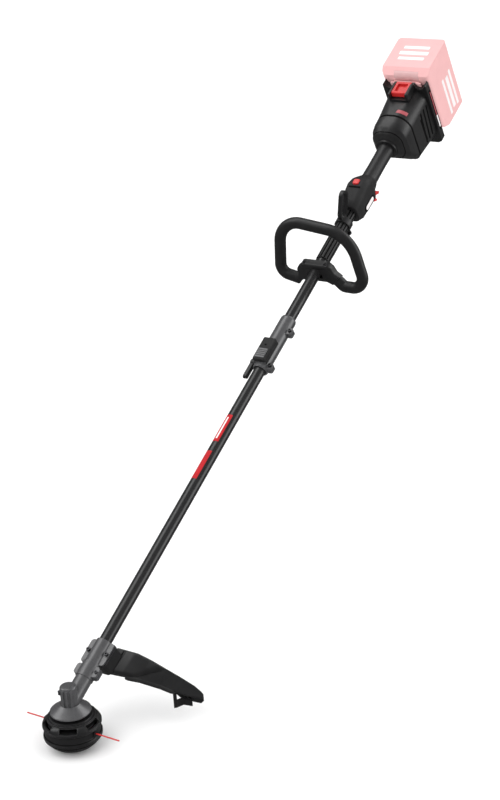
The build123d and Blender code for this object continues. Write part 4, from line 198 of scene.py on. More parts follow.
# Look of each finish beside its colour, with sizes in millimetres
LOOKS = {
    "tube_coat": dict(roughness=0.28, grain=1.4, grain_depth=0.02, mottle=0.06, mottle_size=60.0,
                      edge_wear_highlight_gain=2.2, specular=0.4),
    # Black plastic: edges painted lighter, part wear and part painted highlight outlines
    "black_plastic": dict(roughness=0.40, grain=0.7, grain_depth=0.06, edge=1.2, edge_wear_highlight_gain=3.0,
                          specular=0.42),
    "dark_plastic": dict(roughness=0.42, grain=0.8, grain_depth=0.07, specular=0.45),
    "grip_rubber": dict(roughness=0.46, grain=1.1, grain_depth=0.10, mottle=0.18, edge_wear_highlight_gain=1.3,
                        specular=0.45),
    "cast_metal": dict(roughness=0.31, grain=0.9, grain_depth=0.04, mottle=0.1, mottle_size=9.0,
                       edge_wear_highlight_gain=1.9, metal=0.1, specular=0.6),
    "steel": dict(roughness=0.28, grain=0.5, grain_depth=0.02, mottle=0.06, metal=1.0, stretch=8.0,
                  edge_wear_highlight_gain=1.2),
    "dark_steel": dict(roughness=0.38, grain=0.5, grain_depth=0.03, metal=0.9, edge_wear_highlight_gain=1.8),
    "bush_plastic": dict(roughness=0.5),
    "red_plastic": dict(roughness=0.36, grain=0.8, grain_depth=0.03, mottle=0.06, edge_wear_highlight_gain=1.15),
    "line_nylon": dict(roughness=0.3, grain=0.4, grain_depth=0.03, mottle=0.1, mottle_size=6.0,
                       edge_wear_highlight_gain=1.1, stretch=6.0),
    "pack_shell": dict(roughness=0.5, grain=0.9, grain_depth=0.04, mottle=0.02, mottle_size=40.0, edge=1.4,
                       edge_wear_highlight_gain=1.12, specular=0.3),
    "board_laminate": dict(roughness=0.3, grain=1.6, grain_depth=0.05, mottle=0.3, mottle_size=3.0),
    "terminal_brass": dict(roughness=0.25, metal=1.0, grain_depth=0.02),
    "core_iron": dict(roughness=0.45, metal=0.8, period=0.7, dark=0.6),
    "pale_print": dict(roughness=0.4, grain_depth=0.02, mottle=0.03),
    "panel_tint": dict(roughness=0.45, grain_depth=0.03, mottle=0.03),
    # Head plastic: black plastic whose edges are painted much lighter, a painted highlight along windows, steps
    # and rims
    "head_plastic": dict(roughness=0.36, grain=0.7, grain_depth=0.05, edge=1.6, edge_wear_highlight_gain=5.5, specular=0.4),
    "matte_plastic": dict(roughness=0.60, grain=0.9, grain_depth=0.08, edge_wear_highlight_gain=2.4, specular=0.2),
    # Release lever: lighter than its plastic, a painted highlight
    "lever_grey": dict(roughness=0.45, grain=0.8, grain_depth=0.05, edge_wear_highlight_gain=1.8),
    # Black for seams, the dock's rail, the badge's rim and the lock dot, and for painted shade in the vent, the
    # slot and the flutes
    "seam_black": dict(roughness=0.7, grain_depth=0.05, edge_wear_highlight_gain=1.0, specular=0.05),
    "red_print": dict(roughness=0.62, grain_depth=0.03, mottle=0.06, edge_wear_highlight_gain=1.1, specular=0.12),
    "badge_red": dict(roughness=0.4, grain_depth=0.03, mottle=0.08),
}

# Range in which most of a noise texture lies, the part of it over which an edge is lightened and the least
# lightening, where the lighter edge is part wear and part painted highlight, the cosines between rounded and
# true normal at which an edge shows fully and not at all, and the scale at which a wave texture has one band
# to the metre
NOISE_LOW, NOISE_HIGH = 0.3, 0.7
WORN_AND_LIT_LOW, WORN_AND_LIT_HIGH, WORN_AND_LIT_LEAST = 0.35, 0.6, 0.35
EDGE_FULL, EDGE_NONE = 0.7, 0.99
WAVE_SCALE = 0.31

# Studio: the floor in metres, the directions towards the lights, the camera's place in metres and its axes,
# its sensor in millimetres and how far it sees in metres
FLOOR_HALF, FLOOR_DROP, FLOOR_ROWS = 20.0, 0.0004, 9
KEY_TOWARDS = (-0.474, 0.322, 0.819)
FILL_TOWARDS = (0.153, -0.751, 0.643)
SHEENS_TOWARDS = {"sheen_top": (0.035, 0.355, 0.939), "sheen_left": (-0.305, 0.709, 0.635),
                  "sheen_right": (0.66, -0.40, 0.636), "sheen_low": (0.473, -0.866, 0.2)}
CAMERA_PLACE = (-2.1346, -1.8599, 1.8083)
CAMERA_RIGHT = (0.52842, -0.84683, -0.06034)
CAMERA_DOWN = (-0.34456, -0.14896, -0.92687)
CAMERA_AHEAD = (0.77592, 0.51057, -0.37050)
SENSOR_WIDTH, FAR_LIMIT = 36.0, 100.0


def slot_colour(slot):
    """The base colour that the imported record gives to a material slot."""
    found = [m["base_color"] for m in frame["record"]["materials"] if m["slot"] == slot]
    return tuple(found[0][:3])


# Angles and places
def around(count):
    """Even angles once round, each of them once."""
    return np.linspace(0, FULL_TURN, count + 1)[:-1]


def quarter(count):
    """Even angles of a quarter turn, with both ends."""
    return np.linspace(0, QUARTER_TURN, count)


def on_boom(along, rise, left):
    """Points from boom coordinates in millimetres: crossing + along * BOOM + rise * RISE + left * LEFT."""
    along, rise, left = np.broadcast_arrays(along, rise, left)
    steps = along[..., None] * BOOM + rise[..., None] * RISE + left[..., None] * LEFT
    return CROSSING + steps * MM


def about_spindle(radius, angle, height):
    """Points at a radius, an angle and a height about the spindle's axis."""
    radius, angle, height = np.broadcast_arrays(radius, angle, height)
    return np.stack([radius * np.cos(angle), radius * np.sin(angle), height], -1)


# Surfaces from grids of points
def grid_quads(rows, columns, wrap_rows, wrap_columns):
    """Corner numbers of the quads between neighbouring rows and columns of a grid."""
    row = np.arange(rows if wrap_rows else rows - 1)[:, None]
    column = np.arange(columns if wrap_columns else columns - 1)[None, :]
    next_row = (row + 1) % rows
    next_column = (column + 1) % columns
    corners = [row * columns + column, row * columns + next_column,
               next_row * columns + next_column, next_row * columns + column]
    return np.stack(np.broadcast_arrays(*corners), -1).reshape(-1, 4)


def shell(points, wrap_rows=False):
    """A closed surface from a grid (rows, columns, 3): its points, quads and triangles. Columns join round.
    Rows join round too, or else a fan of triangles closes each end row to its middle. All faces are turned
    round if the volume that they enclose comes out negative."""
    rows, columns = points.shape[:2]
    vertices = points.reshape(-1, 3)
    quads = grid_quads(rows, columns, wrap_rows, True)
    fans = np.empty((0, 3), int)
    if not wrap_rows:
        ring = np.arange(columns)
        after = (ring + 1) % columns
        start = len(vertices)
        last = start - columns
        vertices = np.vstack([vertices, points[0].mean(0), points[-1].mean(0)])
        fans = np.vstack([np.stack([after, ring, np.full(columns, start)], -1),
                          np.stack([last + ring, last + after, np.full(columns, start + 1)], -1)])
    triangles = np.vstack([quads[:, [0, 1, 2]], quads[:, [0, 2, 3]], fans])
    a, b, c = (vertices[triangles[:, corner]] - vertices.mean(0) for corner in range(3))
    if np.einsum("ij,ij->", a, np.cross(b, c)) < 0:
        quads, fans = quads[:, ::-1], fans[:, ::-1]
    return vertices, quads, fans


def joined(shells):
    """Several shells as one set of points, quads and triangles."""
    vertices, quads, fans = zip(*shells)
    starts = np.cumsum([0] + [len(points) for points in vertices])
    return (np.vstack(vertices), np.vstack([q + start for q, start in zip(quads, starts)]),
            np.vstack([f + start for f, start in zip(fans, starts)]))


def make_piece(name, surface, finish_name, body, stands_for=()):
    """A smooth mesh object at the origin that rides on a body."""
    vertices, quads, fans = surface
    mesh = bpy.data.meshes.new(name)
    mesh.from_pydata(vertices.tolist(), [], quads.tolist() + fans.tolist())
    mesh.polygons.foreach_set("use_smooth", np.ones(len(mesh.polygons), bool))
    mesh.update()
    piece = bpy.data.objects.new(name, mesh)
    bpy.context.scene.collection.objects.link(piece)
    mesh.materials.append(finish(finish_name))
    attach(piece, body)
    if stands_for:
        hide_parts(*stands_for)
    return piece


# Outlines and sections
def round_bar(half_length, half_width, corner, count=16):
    """Outline of a bar with round corners: four quarter circles, and its outward normals."""
    angles = np.concatenate([quarter(count) + k * QUARTER_TURN for k in range(4)])
    signs = np.repeat([[1, 1], [-1, 1], [-1, -1], [1, -1]], count, axis=0)
    normals = np.stack([np.cos(angles), np.sin(angles)], -1)
    middles = signs * [half_length - corner, half_width - corner]
    return middles + corner * normals, normals


def section_outline(top, bottom, side, corners, count=28):
    """Outline (rise, left) of a box section: quarter circles about its four corners' middles, with one
    radius for the top corners and one for the bottom ones. Also its outward normals."""
    upper, lower = corners
    angles = np.concatenate([quarter(count) + k * QUARTER_TURN for k in range(4)])
    normals = np.stack([np.cos(angles), np.sin(angles)], -1)
    radius = np.repeat([upper, lower, lower, upper], count)[:, None]
    level = np.repeat([top - upper, lower - bottom, lower - bottom, top - upper], count)
    spread = np.repeat([side - upper, side - lower, lower - side, upper - side], count)
    return np.stack([level, spread], -1) + radius * normals, normals


def bar_section(half_width, height, sink, edge, count=5):
    """Closed section (across, level) of a bar that lies on a face: flat foot, upright sides and two quarter
    rounds at the top."""
    turn = quarter(count)
    across = np.concatenate([[half_width], half_width - edge + edge * np.cos(turn),
                             edge - half_width - edge * np.sin(turn), [-half_width]])
    level = np.concatenate([[-sink], height - edge + edge * np.sin(turn),
                            height - edge + edge * np.cos(turn), [-sink]])
    return across, level


# Plates, bars and beads
def boom_plate(place, size, facing, long_axis, height, sink=0.6):
    """A plate with a rounded upper edge on a face of the boom's pieces, its long side on long_axis. Row k is
    the bar outline moved in by its step of a quarter round and raised by the same quarter round."""
    outline, normals = round_bar(*size)
    turn = quarter(6)
    inset = np.concatenate([[0.0], PLATE_EDGE * (1 - np.cos(turn)), [PLATE_EDGE * PLATE_FLAT_INSET]])
    level = np.concatenate([[-sink], height - PLATE_EDGE + PLATE_EDGE * np.sin(turn), [height]])
    flat = outline[None] - normals[None] * inset[:, None, None]
    cross_axis = np.cross(facing, long_axis)
    upright = np.cross(long_axis, cross_axis)
    steps = flat[..., :1] * long_axis + flat[..., 1:] * cross_axis + level[:, None, None] * upright
    return shell(on_boom(*place) + steps * MM)


def housing_badge():
    """A bar bent round the motor housing's upper left corner. The corner's middle and radius change evenly
    from the front section to the rear one, and the bar's section is carried round them by angle."""
    across, level = bar_section(BADGE_HALF, height=0.5, sink=0.8, edge=0.25)
    along = BADGE_STATION + across[None, :]
    share = (along - HOUSING_FRONT) / (HOUSING_REAR - HOUSING_FRONT)
    front, rear = HOUSING_CORNERS[0], REAR_CORNER
    radius = front + share * (rear - front) + level[None, :]
    rise = HOUSING_TOP - front + share * (front - rear)
    left = HOUSING_SIDE - front + share * (REAR_SIDE - rear - HOUSING_SIDE + front)
    angle = np.linspace(0.0, BADGE_ARC, 25)[:, None]
    return shell(on_boom(along, rise + radius * np.cos(angle), left + radius * np.sin(angle)))


def tube_band(start, end, first, last, height):
    """A bar bent round the lower tube: its section (along, level) is carried round the boom's axis from
    one angle to another, in degrees from the top towards the left."""
    across, level = bar_section((end - start) / 2, height, sink=0.2, edge=0.1)
    along = (start + end) / 2 + across[None, :]
    radius = TUBE_RADIUS + level[None, :]
    angle = np.radians(np.linspace(first, last, 33))[:, None]
    return shell(on_boom(along, radius * np.cos(angle), radius * np.sin(angle)))


def pack_panel():
    """A sheet that lies over the fold between the pack's front chamfer and its front face: a bar section
    (left, level) carried down the chamfer and the face, with the fold's level set square to both."""
    across, level = bar_section(PANEL_HALF, height=0.5, sink=0.6, edge=0.3)
    along = (PACK_FRONT + PANEL_UP)[:, None]
    rise = (PACK_TOP - PACK_CHAMFER + PANEL_UP - PANEL_DOWN)[:, None]
    slant = math.sqrt(0.5)
    forward = np.array([slant, slant, 1.0, 1.0, 1.0])[:, None]
    upward = np.array([slant, slant, math.tan(math.pi / 8), 0.0, 0.0])[:, None]
    return shell(on_boom(along - forward * level, rise + upward * level, PANEL_LEFT + across[None, :]))


def hoop(station, outline, normals, half_width):
    """A low bead carried round an outline (rise, left) at a station of the boom: its section is an ellipse,
    half_width along the boom and SEAM_PROUD across."""
    turn = around(16)
    ring = outline[None] + (SEAM_PROUD * np.sin(turn))[:, None, None] * normals[None]
    along = station + half_width * np.cos(turn)
    return shell(on_boom(along[:, None], ring[..., 0], ring[..., 1]), wrap_rows=True)


def bead(path, first, second, size):
    """A bead along an open path: ellipses whose half axes are two directions times a size, smaller at both
    ends of the path."""
    angle = around(12)
    share = np.linspace(0, 1, len(path))
    swell = size * np.sqrt(np.clip(1 - np.abs(2 * share - 1) ** BEAD_END_POWER, BEAD_END_LEAST, 1))
    ring = np.cos(angle)[None, :, None] * first + np.sin(angle)[None, :, None] * second
    return shell(path[:, None] + swell[:, None, None] * ring)


def head_ring(level, radius, size):
    """A round bead about the spindle: a circle of a size carried round at a level and a radius."""
    section = around(12)[:, None]
    out = radius + size * np.cos(section)
    return shell(about_spindle(out, around(120)[None, :], level + size * np.sin(section)) * MM,
                 wrap_rows=True)


# Node materials
def node(tree, kind, settings=None, **values):
    """A new node with its settings, and with constants on its sockets."""
    made = tree.nodes.new(kind)
    for key, value in (settings or {}).items():
        setattr(made, key, value)
    for key, value in values.items():
        made.inputs[key.replace("_", " ")].default_value = value
    return made


def new_material(name):
    """A material with its principled shader and Object coordinates."""
    material = bpy.data.materials.new(name)
    material.use_nodes = True
    tree = material.node_tree
    shader = tree.nodes["Principled BSDF"]
    place = node(tree, "ShaderNodeTexCoord")
    return material, tree, shader, place.outputs["Object"]


def ranged(tree, source, low, high, to_low, to_high):
    """A value carried from one range to another."""
    made = node(tree, "ShaderNodeMapRange", From_Min=low, From_Max=high, To_Min=to_low, To_Max=to_high)
    tree.links.new(source, made.inputs["Value"])
    return made.outputs["Result"]


def mixed(tree, factor, first, second):
    """Two colours mixed by a factor. A colour is a socket or three numbers."""
    made = node(tree, "ShaderNodeMix", {"data_type": "RGBA"})
    tree.links.new(factor, made.inputs[0])
    for socket, colour in ((made.inputs[6], first), (made.inputs[7], second)):
        if isinstance(colour, bpy.types.NodeSocket):
            tree.links.new(colour, socket)
        else:
            socket.default_value = (*colour, 1.0)
    return made.outputs[2]


def scaled(colour, gain):
    """A colour made lighter or darker."""
    return tuple(min(1.0, c * gain) for c in colour)


def turned(tree, coordinates, scale=(1.0, 1.0, 1.0)):
    """Coordinates turned so that x runs along the boom, then scaled."""
    mapping = node(tree, "ShaderNodeMapping", Rotation=(0.0, BOOM_TILT, 0.0), Scale=scale)
    tree.links.new(coordinates, mapping.inputs["Vector"])
    return mapping.outputs["Vector"]


def noise(tree, coordinates, **values):
    """A noise texture's value over some coordinates."""
    made = node(tree, "ShaderNodeTexNoise", **values)
    tree.links.new(coordinates, made.inputs["Vector"])
    return made.outputs["Fac"]


def edge_mask(tree, radius):
    """A soft mask along sharp edges: how far the rounded normal leaves the true one. Also gives the
    rounded normal."""
    bevel = node(tree, "ShaderNodeBevel", {"samples": 4}, Radius=radius)
    true_normal = node(tree, "ShaderNodeNewGeometry")
    product = node(tree, "ShaderNodeVectorMath", {"operation": "DOT_PRODUCT"})
    tree.links.new(bevel.outputs["Normal"], product.inputs[0])
    tree.links.new(true_normal.outputs["Normal"], product.inputs[1])
    mask = ranged(tree, product.outputs["Value"], EDGE_FULL, EDGE_NONE, 1.0, 0.0)
    return mask, bevel.outputs["Normal"]


def textured(name, colour, roughness, spread=0.08, mottle=0.12, mottle_size=18.0, grain=0.6,
             grain_depth=0.05, edge=0.8, edge_wear_highlight_gain=1.6, metal=0.0, specular=0.5, stretch=None):
    """A finish with cloudy colour, a fine grain that shows in bump and roughness, and lighter edges, which are
    part wear and part a painted highlight.
    Sizes are in millimetres. stretch is the grain's size along the boom over its size across."""
    material, tree, shader, coordinates = new_material(name)
    if stretch:
        coordinates = turned(tree, coordinates, (1.0 / stretch, 1.0, 1.0))
    clouds = noise(tree, coordinates, Scale=1.0 / (mottle_size * MM), Detail=5.0, Roughness=0.6)
    fine = noise(tree, coordinates, Scale=1.0 / (grain * MM), Detail=3.0, Roughness=0.55)
    tone = ranged(tree, clouds, NOISE_LOW, NOISE_HIGH, 0.0, 1.0)
    body = mixed(tree, tone, scaled(colour, 1.0 - mottle), scaled(colour, 1.0 + mottle))
    mask, rounded = edge_mask(tree, edge * MM)
    # Edges painted lighter: part wear, part a painted highlight for light caught on rounded edges
    wear_and_highlight = node(tree, "ShaderNodeMath", {"operation": "MULTIPLY"})
    tree.links.new(mask, wear_and_highlight.inputs[0])
    tree.links.new(ranged(tree, clouds, WORN_AND_LIT_LOW, WORN_AND_LIT_HIGH, WORN_AND_LIT_LEAST, 1.0), wear_and_highlight.inputs[1])
    tree.links.new(mixed(tree, wear_and_highlight.outputs["Value"], body, scaled(colour, edge_wear_highlight_gain)),
                   shader.inputs["Base Color"])
    tree.links.new(ranged(tree, fine, NOISE_LOW, NOISE_HIGH, roughness - spread, roughness + spread),
                   shader.inputs["Roughness"])
    bump = node(tree, "ShaderNodeBump", Strength=0.5, Distance=grain_depth * MM)
    tree.links.new(fine, bump.inputs["Height"])
    tree.links.new(rounded, bump.inputs["Normal"])
    tree.links.new(bump.outputs["Normal"], shader.inputs["Normal"])
    shader.inputs["Metallic"].default_value = metal
    shader.inputs["Specular IOR Level"].default_value = specular
    return material


def banded(name, colour, roughness, metal, period, dark, spread=0.08, depth=0.1):
    """A finish of fine even bands along the boom, as on stacked sheets: the colour and a darker one of it,
    one pair in each period. Sizes are in millimetres."""
    material, tree, shader, coordinates = new_material(name)
    wave = node(tree, "ShaderNodeTexWave", {"wave_type": "BANDS", "bands_direction": "X"},
                Scale=WAVE_SCALE / (period * MM), Distortion=0.2)
    tree.links.new(turned(tree, coordinates), wave.inputs["Vector"])
    clouds = noise(tree, coordinates, Scale=60.0, Detail=4.0)
    tree.links.new(mixed(tree, wave.outputs["Fac"], colour, scaled(colour, dark)),
                   shader.inputs["Base Color"])
    tree.links.new(ranged(tree, clouds, NOISE_LOW, NOISE_HIGH, roughness - spread, roughness + spread),
                   shader.inputs["Roughness"])
    bump = node(tree, "ShaderNodeBump", Strength=0.4, Distance=depth * MM)
    tree.links.new(wave.outputs["Fac"], bump.inputs["Height"])
    tree.links.new(bump.outputs["Normal"], shader.inputs["Normal"])
    shader.inputs["Metallic"].default_value = metal
    return material


# Finishes that are already made
FINISHES = {}


def finish(name):
    """The node material of a finish, made once from its look and its colour in the sidebar."""
    if name not in FINISHES:
        colour = tuple(getattr(bpy.context.scene.trimmer_colours, name))
        maker = banded if name == "core_iron" else textured
        FINISHES[name] = maker(name, colour, **LOOKS[name])
    return FINISHES[name]


def smoothing_tree():
    """Geometry nodes that merge a solid's loose triangles and leave sharp only the edges over an angle."""
    tree = bpy.data.node_groups.new("smooth_faces", "GeometryNodeTree")
    for way in ("INPUT", "OUTPUT"):
        tree.interface.new_socket("Geometry", in_out=way, socket_type="NodeSocketGeometry")
    start = node(tree, "NodeGroupInput")
    end = node(tree, "NodeGroupOutput")
    merge = node(tree, "GeometryNodeMergeByDistance", Distance=MERGE_DISTANCE)
    normals = node(tree, "GeometryNodeSetMeshNormal", {"mode": "SHARPNESS"}, Remove_Custom=True)
    angle = node(tree, "GeometryNodeInputMeshEdgeAngle")
    sharp = node(tree, "FunctionNodeCompare", {"data_type": "FLOAT", "operation": "GREATER_THAN"})
    sharp.inputs[1].default_value = SHARP_ANGLE
    tree.links.new(start.outputs[0], merge.inputs["Geometry"])
    tree.links.new(merge.outputs["Geometry"], normals.inputs["Mesh"])
    tree.links.new(angle.outputs["Unsigned Angle"], sharp.inputs[0])
    tree.links.new(sharp.outputs[0], normals.inputs["Edge Sharpness"])
    tree.links.new(normals.outputs["Mesh"], end.inputs[0])
    return tree


def colour_property(label, default):
    """One colour of the sidebar."""
    return FloatVectorProperty(name=label, description=f"Base colour of the {label.lower()}",
                               subtype="COLOR", size=3, min=0.0, max=1.0, default=default)


class TrimmerColours(PropertyGroup):
    """Base colours of the finishes."""
    tube_coat: colour_property("Tube coat", (0.016, 0.016, 0.0165))
    black_plastic: colour_property("Black plastic", (0.0105, 0.0105, 0.011))
    dark_plastic: colour_property("Dark plastic", (0.0125, 0.0125, 0.013))
    grip_rubber: colour_property("Grip rubber", (0.0095, 0.0095, 0.010))
    cast_metal: colour_property("Cast metal", (0.074, 0.074, 0.077))
    steel: colour_property("Steel", slot_colour("steel"))
    dark_steel: colour_property("Dark steel", (0.05, 0.05, 0.053))
    bush_plastic: colour_property("Bush plastic", slot_colour("bush_plastic"))
    red_plastic: colour_property("Red plastic", (0.60, 0.022, 0.022))
    line_nylon: colour_property("Line nylon", (0.56, 0.022, 0.022))
    pack_shell: colour_property("Pack shell", (0.83, 0.46, 0.46))
    board_laminate: colour_property("Board laminate", slot_colour("board_laminate"))
    terminal_brass: colour_property("Terminal brass", slot_colour("terminal_brass"))
    core_iron: colour_property("Core iron", slot_colour("core_iron"))
    pale_print: colour_property("Pale bars", (0.90, 0.86, 0.86))
    panel_tint: colour_property("Pack panel", (0.66, 0.40, 0.40))
    # Black of the seams and of the painted shade in the vent, the slot and the flutes
    seam_black: colour_property("Seam", (0.004, 0.004, 0.004))
    head_plastic: colour_property("Head plastic", (0.0105, 0.0105, 0.011))
    matte_plastic: colour_property("Matte plastic", (0.019, 0.019, 0.0195))
    # Lighter grey of the release lever: a painted highlight
    lever_grey: colour_property("Lever grey", (0.10, 0.10, 0.104))
    red_print: colour_property("Red bands", (0.50, 0.018, 0.024))
    badge_red: colour_property("Red bars", (0.40, 0.075, 0.09))


class TrimmerSizes(PropertyGroup):
    """Sizes of the fine pieces."""
    line_diameter: FloatProperty(name="Line diameter", description="Diameter of the cutting line",
                                 unit="LENGTH", default=3.0 * MM)
    spring_wire: FloatProperty(name="Spring wire", description="Wire diameter of the bump spring",
                               unit="LENGTH", default=2.0 * MM)
    spring_turns: IntProperty(name="Spring turns", description="Turns of the bump spring", default=6)
    seam_width: FloatProperty(name="Seam width", description="Width of the seam between cap and housing",
                              unit="LENGTH", default=5.6 * MM)


class StageSettings(PropertyGroup):
    """Camera and studio."""
    lens: FloatProperty(name="Lens", description="Focal length of the camera in millimetres",
                        unit="CAMERA", default=76.5)
    key_strength: FloatProperty(name="Key light", description="Strength of the wide left light",
                                default=1.25)
    fill_strength: FloatProperty(name="Fill light", description="Strength of the wide right light",
                                 default=0.7)
    light_spread: FloatProperty(name="Light spread", description="Angle that each light covers in the sky",
                                subtype="ANGLE", unit="ROTATION", default=math.radians(60.0))
    sheen_strength: FloatProperty(name="Sheen lights", default=0.95,
                                  description="Strength of the lights that only gloss")
    sheen_spread: FloatProperty(name="Sheen spread", description="Angle that each sheen light covers",
                                subtype="ANGLE", unit="ROTATION", default=math.radians(34.0))
    world_strength: FloatProperty(name="Surround", description="Brightness of the surround", default=0.85)
    mirrored_strength: FloatProperty(name="Mirrored surround", default=0.16,
                                     description="Brightness of the surround in gloss")
    floor_colour: colour_property("Floor", (0.95, 0.95, 0.95))


class TRIMMER_OT_finish_solids(Operator):
    """Gives each solid of the frame its node material, and smooth shading where its faces run on into each
    other"""
    bl_idname = "trimmer.finish_solids"
    bl_label = "Finish solids"

    def execute(self, context):
        slots = {s["node"]: s["material_slot"] for s in frame["record"]["subparts"]}
        for name, solid in frame["nodes"].items():
            solid.data.materials.clear()
            solid.data.materials.append(finish(OWN_FINISHES.get(name, slots[name])))
        tree = smoothing_tree()
        for name in SMOOTH_SOLIDS:
            smooth = frame["nodes"][name].modifiers.new("smooth_faces", "NODES")
            smooth.node_group = tree
            weighted = frame["nodes"][name].modifiers.new("weighted_normals", "WEIGHTED_NORMAL")
            weighted.keep_sharp = True
        return {"FINISHED"}


class TRIMMER_OT_line_winding(Operator):
    """Winds the cutting line on the spool: a ring whose outside swells and dips once for each turn, with
    the swell moved up by one pitch per revolution, so the ridges climb as a helix"""
    bl_idname = "trimmer.line_winding"
    bl_label = "Wound line"

    def execute(self, context):
        line = context.scene.trimmer_sizes.line_diameter
        low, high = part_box("wound_line")
        turns = round((high.z - low.z) / line)
        angle = around(120)[None, :]
        rows = np.linspace(0, 1, turns * 8)[:, None]
        swell = np.abs(np.sin(math.pi * (turns * rows - angle / FULL_TURN)))
        taper = np.clip(np.minimum(rows, 1 - rows) * turns * 2, 0, 1)
        wall = high.x - WOUND_RIDGE_SHARE * line * (1 - swell * taper)
        bore = np.full((2, angle.size), WOUND_BORE * MM)
        height = np.vstack([low.z + rows * (high.z - low.z), [[high.z], [low.z]]])
        points = about_spindle(np.vstack([wall, bore]), angle, height)
        make_piece("line_winding", shell(points, wrap_rows=True), "line_nylon", "bump_spool",
                   ["wound_line"])
        return {"FINISHED"}


class TRIMMER_OT_bump_coil(Operator):
    """Coils the bump spring: a round wire carried along a helix with flat end turns, its section turned with
    the helix"""
    bl_idname = "trimmer.bump_coil"
    bl_label = "Bump spring"

    def execute(self, context):
        sizes = context.scene.trimmer_sizes
        low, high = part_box("bump_spring")
        wire = sizes.spring_wire / 2
        turn = np.linspace(0, FULL_TURN * sizes.spring_turns, COIL_ROWS_A_TURN * sizes.spring_turns)
        rising = sizes.spring_turns - 2 * COIL_END_TURNS
        share = np.clip((turn / FULL_TURN - COIL_END_TURNS) / rising, 0, 1)
        centre = about_spindle(high.x - wire, turn, low.z + wire + share * (high.z - low.z - 2 * wire))
        normal = about_spindle(1.0, turn, 0.0)
        upright = np.array([0.0, 0.0, 1.0])
        angle = around(12)[None, :, None]
        points = centre[:, None] + wire * (np.cos(angle) * normal[:, None] + np.sin(angle) * upright)
        coil = make_piece("bump_spring_coil", shell(points), "steel", "cutting_head",
                          ["bump_spring"])
        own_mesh(coil)
        return {"FINISHED"}


class TRIMMER_OT_line_strands(Operator):
    """Draws the two line ends: a round section with five shallow lobes that twists along a straight path,
    and closes in a quarter round at the tip"""
    bl_idname = "trimmer.line_strands"
    bl_label = "Line ends"

    def execute(self, context):
        line = context.scene.trimmer_sizes.line_diameter / 2
        solid = frame["nodes"]["cutting_line_ends"]
        co = np.empty(len(solid.data.vertices) * 3)
        solid.data.vertices.foreach_get("co", co)
        co = co.reshape(-1, 3)
        level = (co[:, 2].min() + co[:, 2].max()) / 2
        start, end = np.abs(co[:, 1]).min(), np.abs(co[:, 1]).max()
        closing = np.linspace(STRAND_TIP_ANGLE, QUARTER_TURN, STRAND_TIP_ROWS)
        along = np.concatenate([np.linspace(start, end - line, STRAND_ROWS),
                                end - line + line * np.sin(closing)])[:, None]
        swell = np.concatenate([np.ones(STRAND_ROWS), np.cos(closing).clip(STRAND_TIP_LEAST)])[:, None]
        angle = around(30)[None, :]
        twist = (along - start) / (STRAND_TWIST * MM)
        lobes = 1 - STRAND_LOBE_SHARE + STRAND_LOBE_SHARE * np.cos(STRAND_LOBES * angle)
        radius = line * swell * lobes
        across = radius * np.cos(angle + twist)
        rise = level + radius * np.sin(angle + twist)
        strands = [shell(np.stack([across, side * along + 0 * angle, rise], -1)) for side in (-1, 1)]
        make_piece("line_strands", joined(strands), "line_nylon", "cutting_head",
                   ["cutting_line_ends"])
        return {"FINISHED"}


class TRIMMER_OT_case_lid(Operator):
    """Turns the raised lid on the gear case's post: a flat disc with a rounded rim, turned about the
    spindle's axis"""
    bl_idname = "trimmer.case_lid"
    bl_label = "Case lid"

    def execute(self, context):
        turn = quarter(6)
        rim = LID_LEVEL + LID_STEP
        top = rim + LID_ROUND
        radius = np.concatenate([[LID_RADIUS], LID_RADIUS - LID_ROUND + LID_ROUND * np.cos(turn),
                                 LID_FLAT_RADII])
        level = np.concatenate([[LID_LEVEL - LID_SINK], rim + LID_ROUND * np.sin(turn), [top, top]])
        points = about_spindle(radius[:, None], around(64)[None, :], level[:, None]) * MM
        make_piece("case_lid", shell(points), "cast_metal", "lower_boom")
        return {"FINISHED"}


class TRIMMER_OT_seam_band(Operator):
    """Lays the seam between front cap and motor housing and the groove on the cap's bell: low beads carried
    round the rounded outlines"""
    bl_idname = "trimmer.seam_band"
    bl_label = "Housing seam"

    def execute(self, context):
        half = context.scene.trimmer_sizes.seam_width / MM / 2
        outline, normals = section_outline(HOUSING_TOP, HOUSING_BOTTOM, HOUSING_SIDE, HOUSING_CORNERS)
        make_piece("housing_seam", hoop(HOUSING_FRONT, outline, normals, half), "seam_black",
                   "upper_frame")
        outline, normals = section_outline(*CAP_SECTION)
        make_piece("cap_groove", hoop(CAP_STATION, outline, normals, CAP_GROOVE_HALF), "seam_black",
                   "upper_frame")
        return {"FINISHED"}


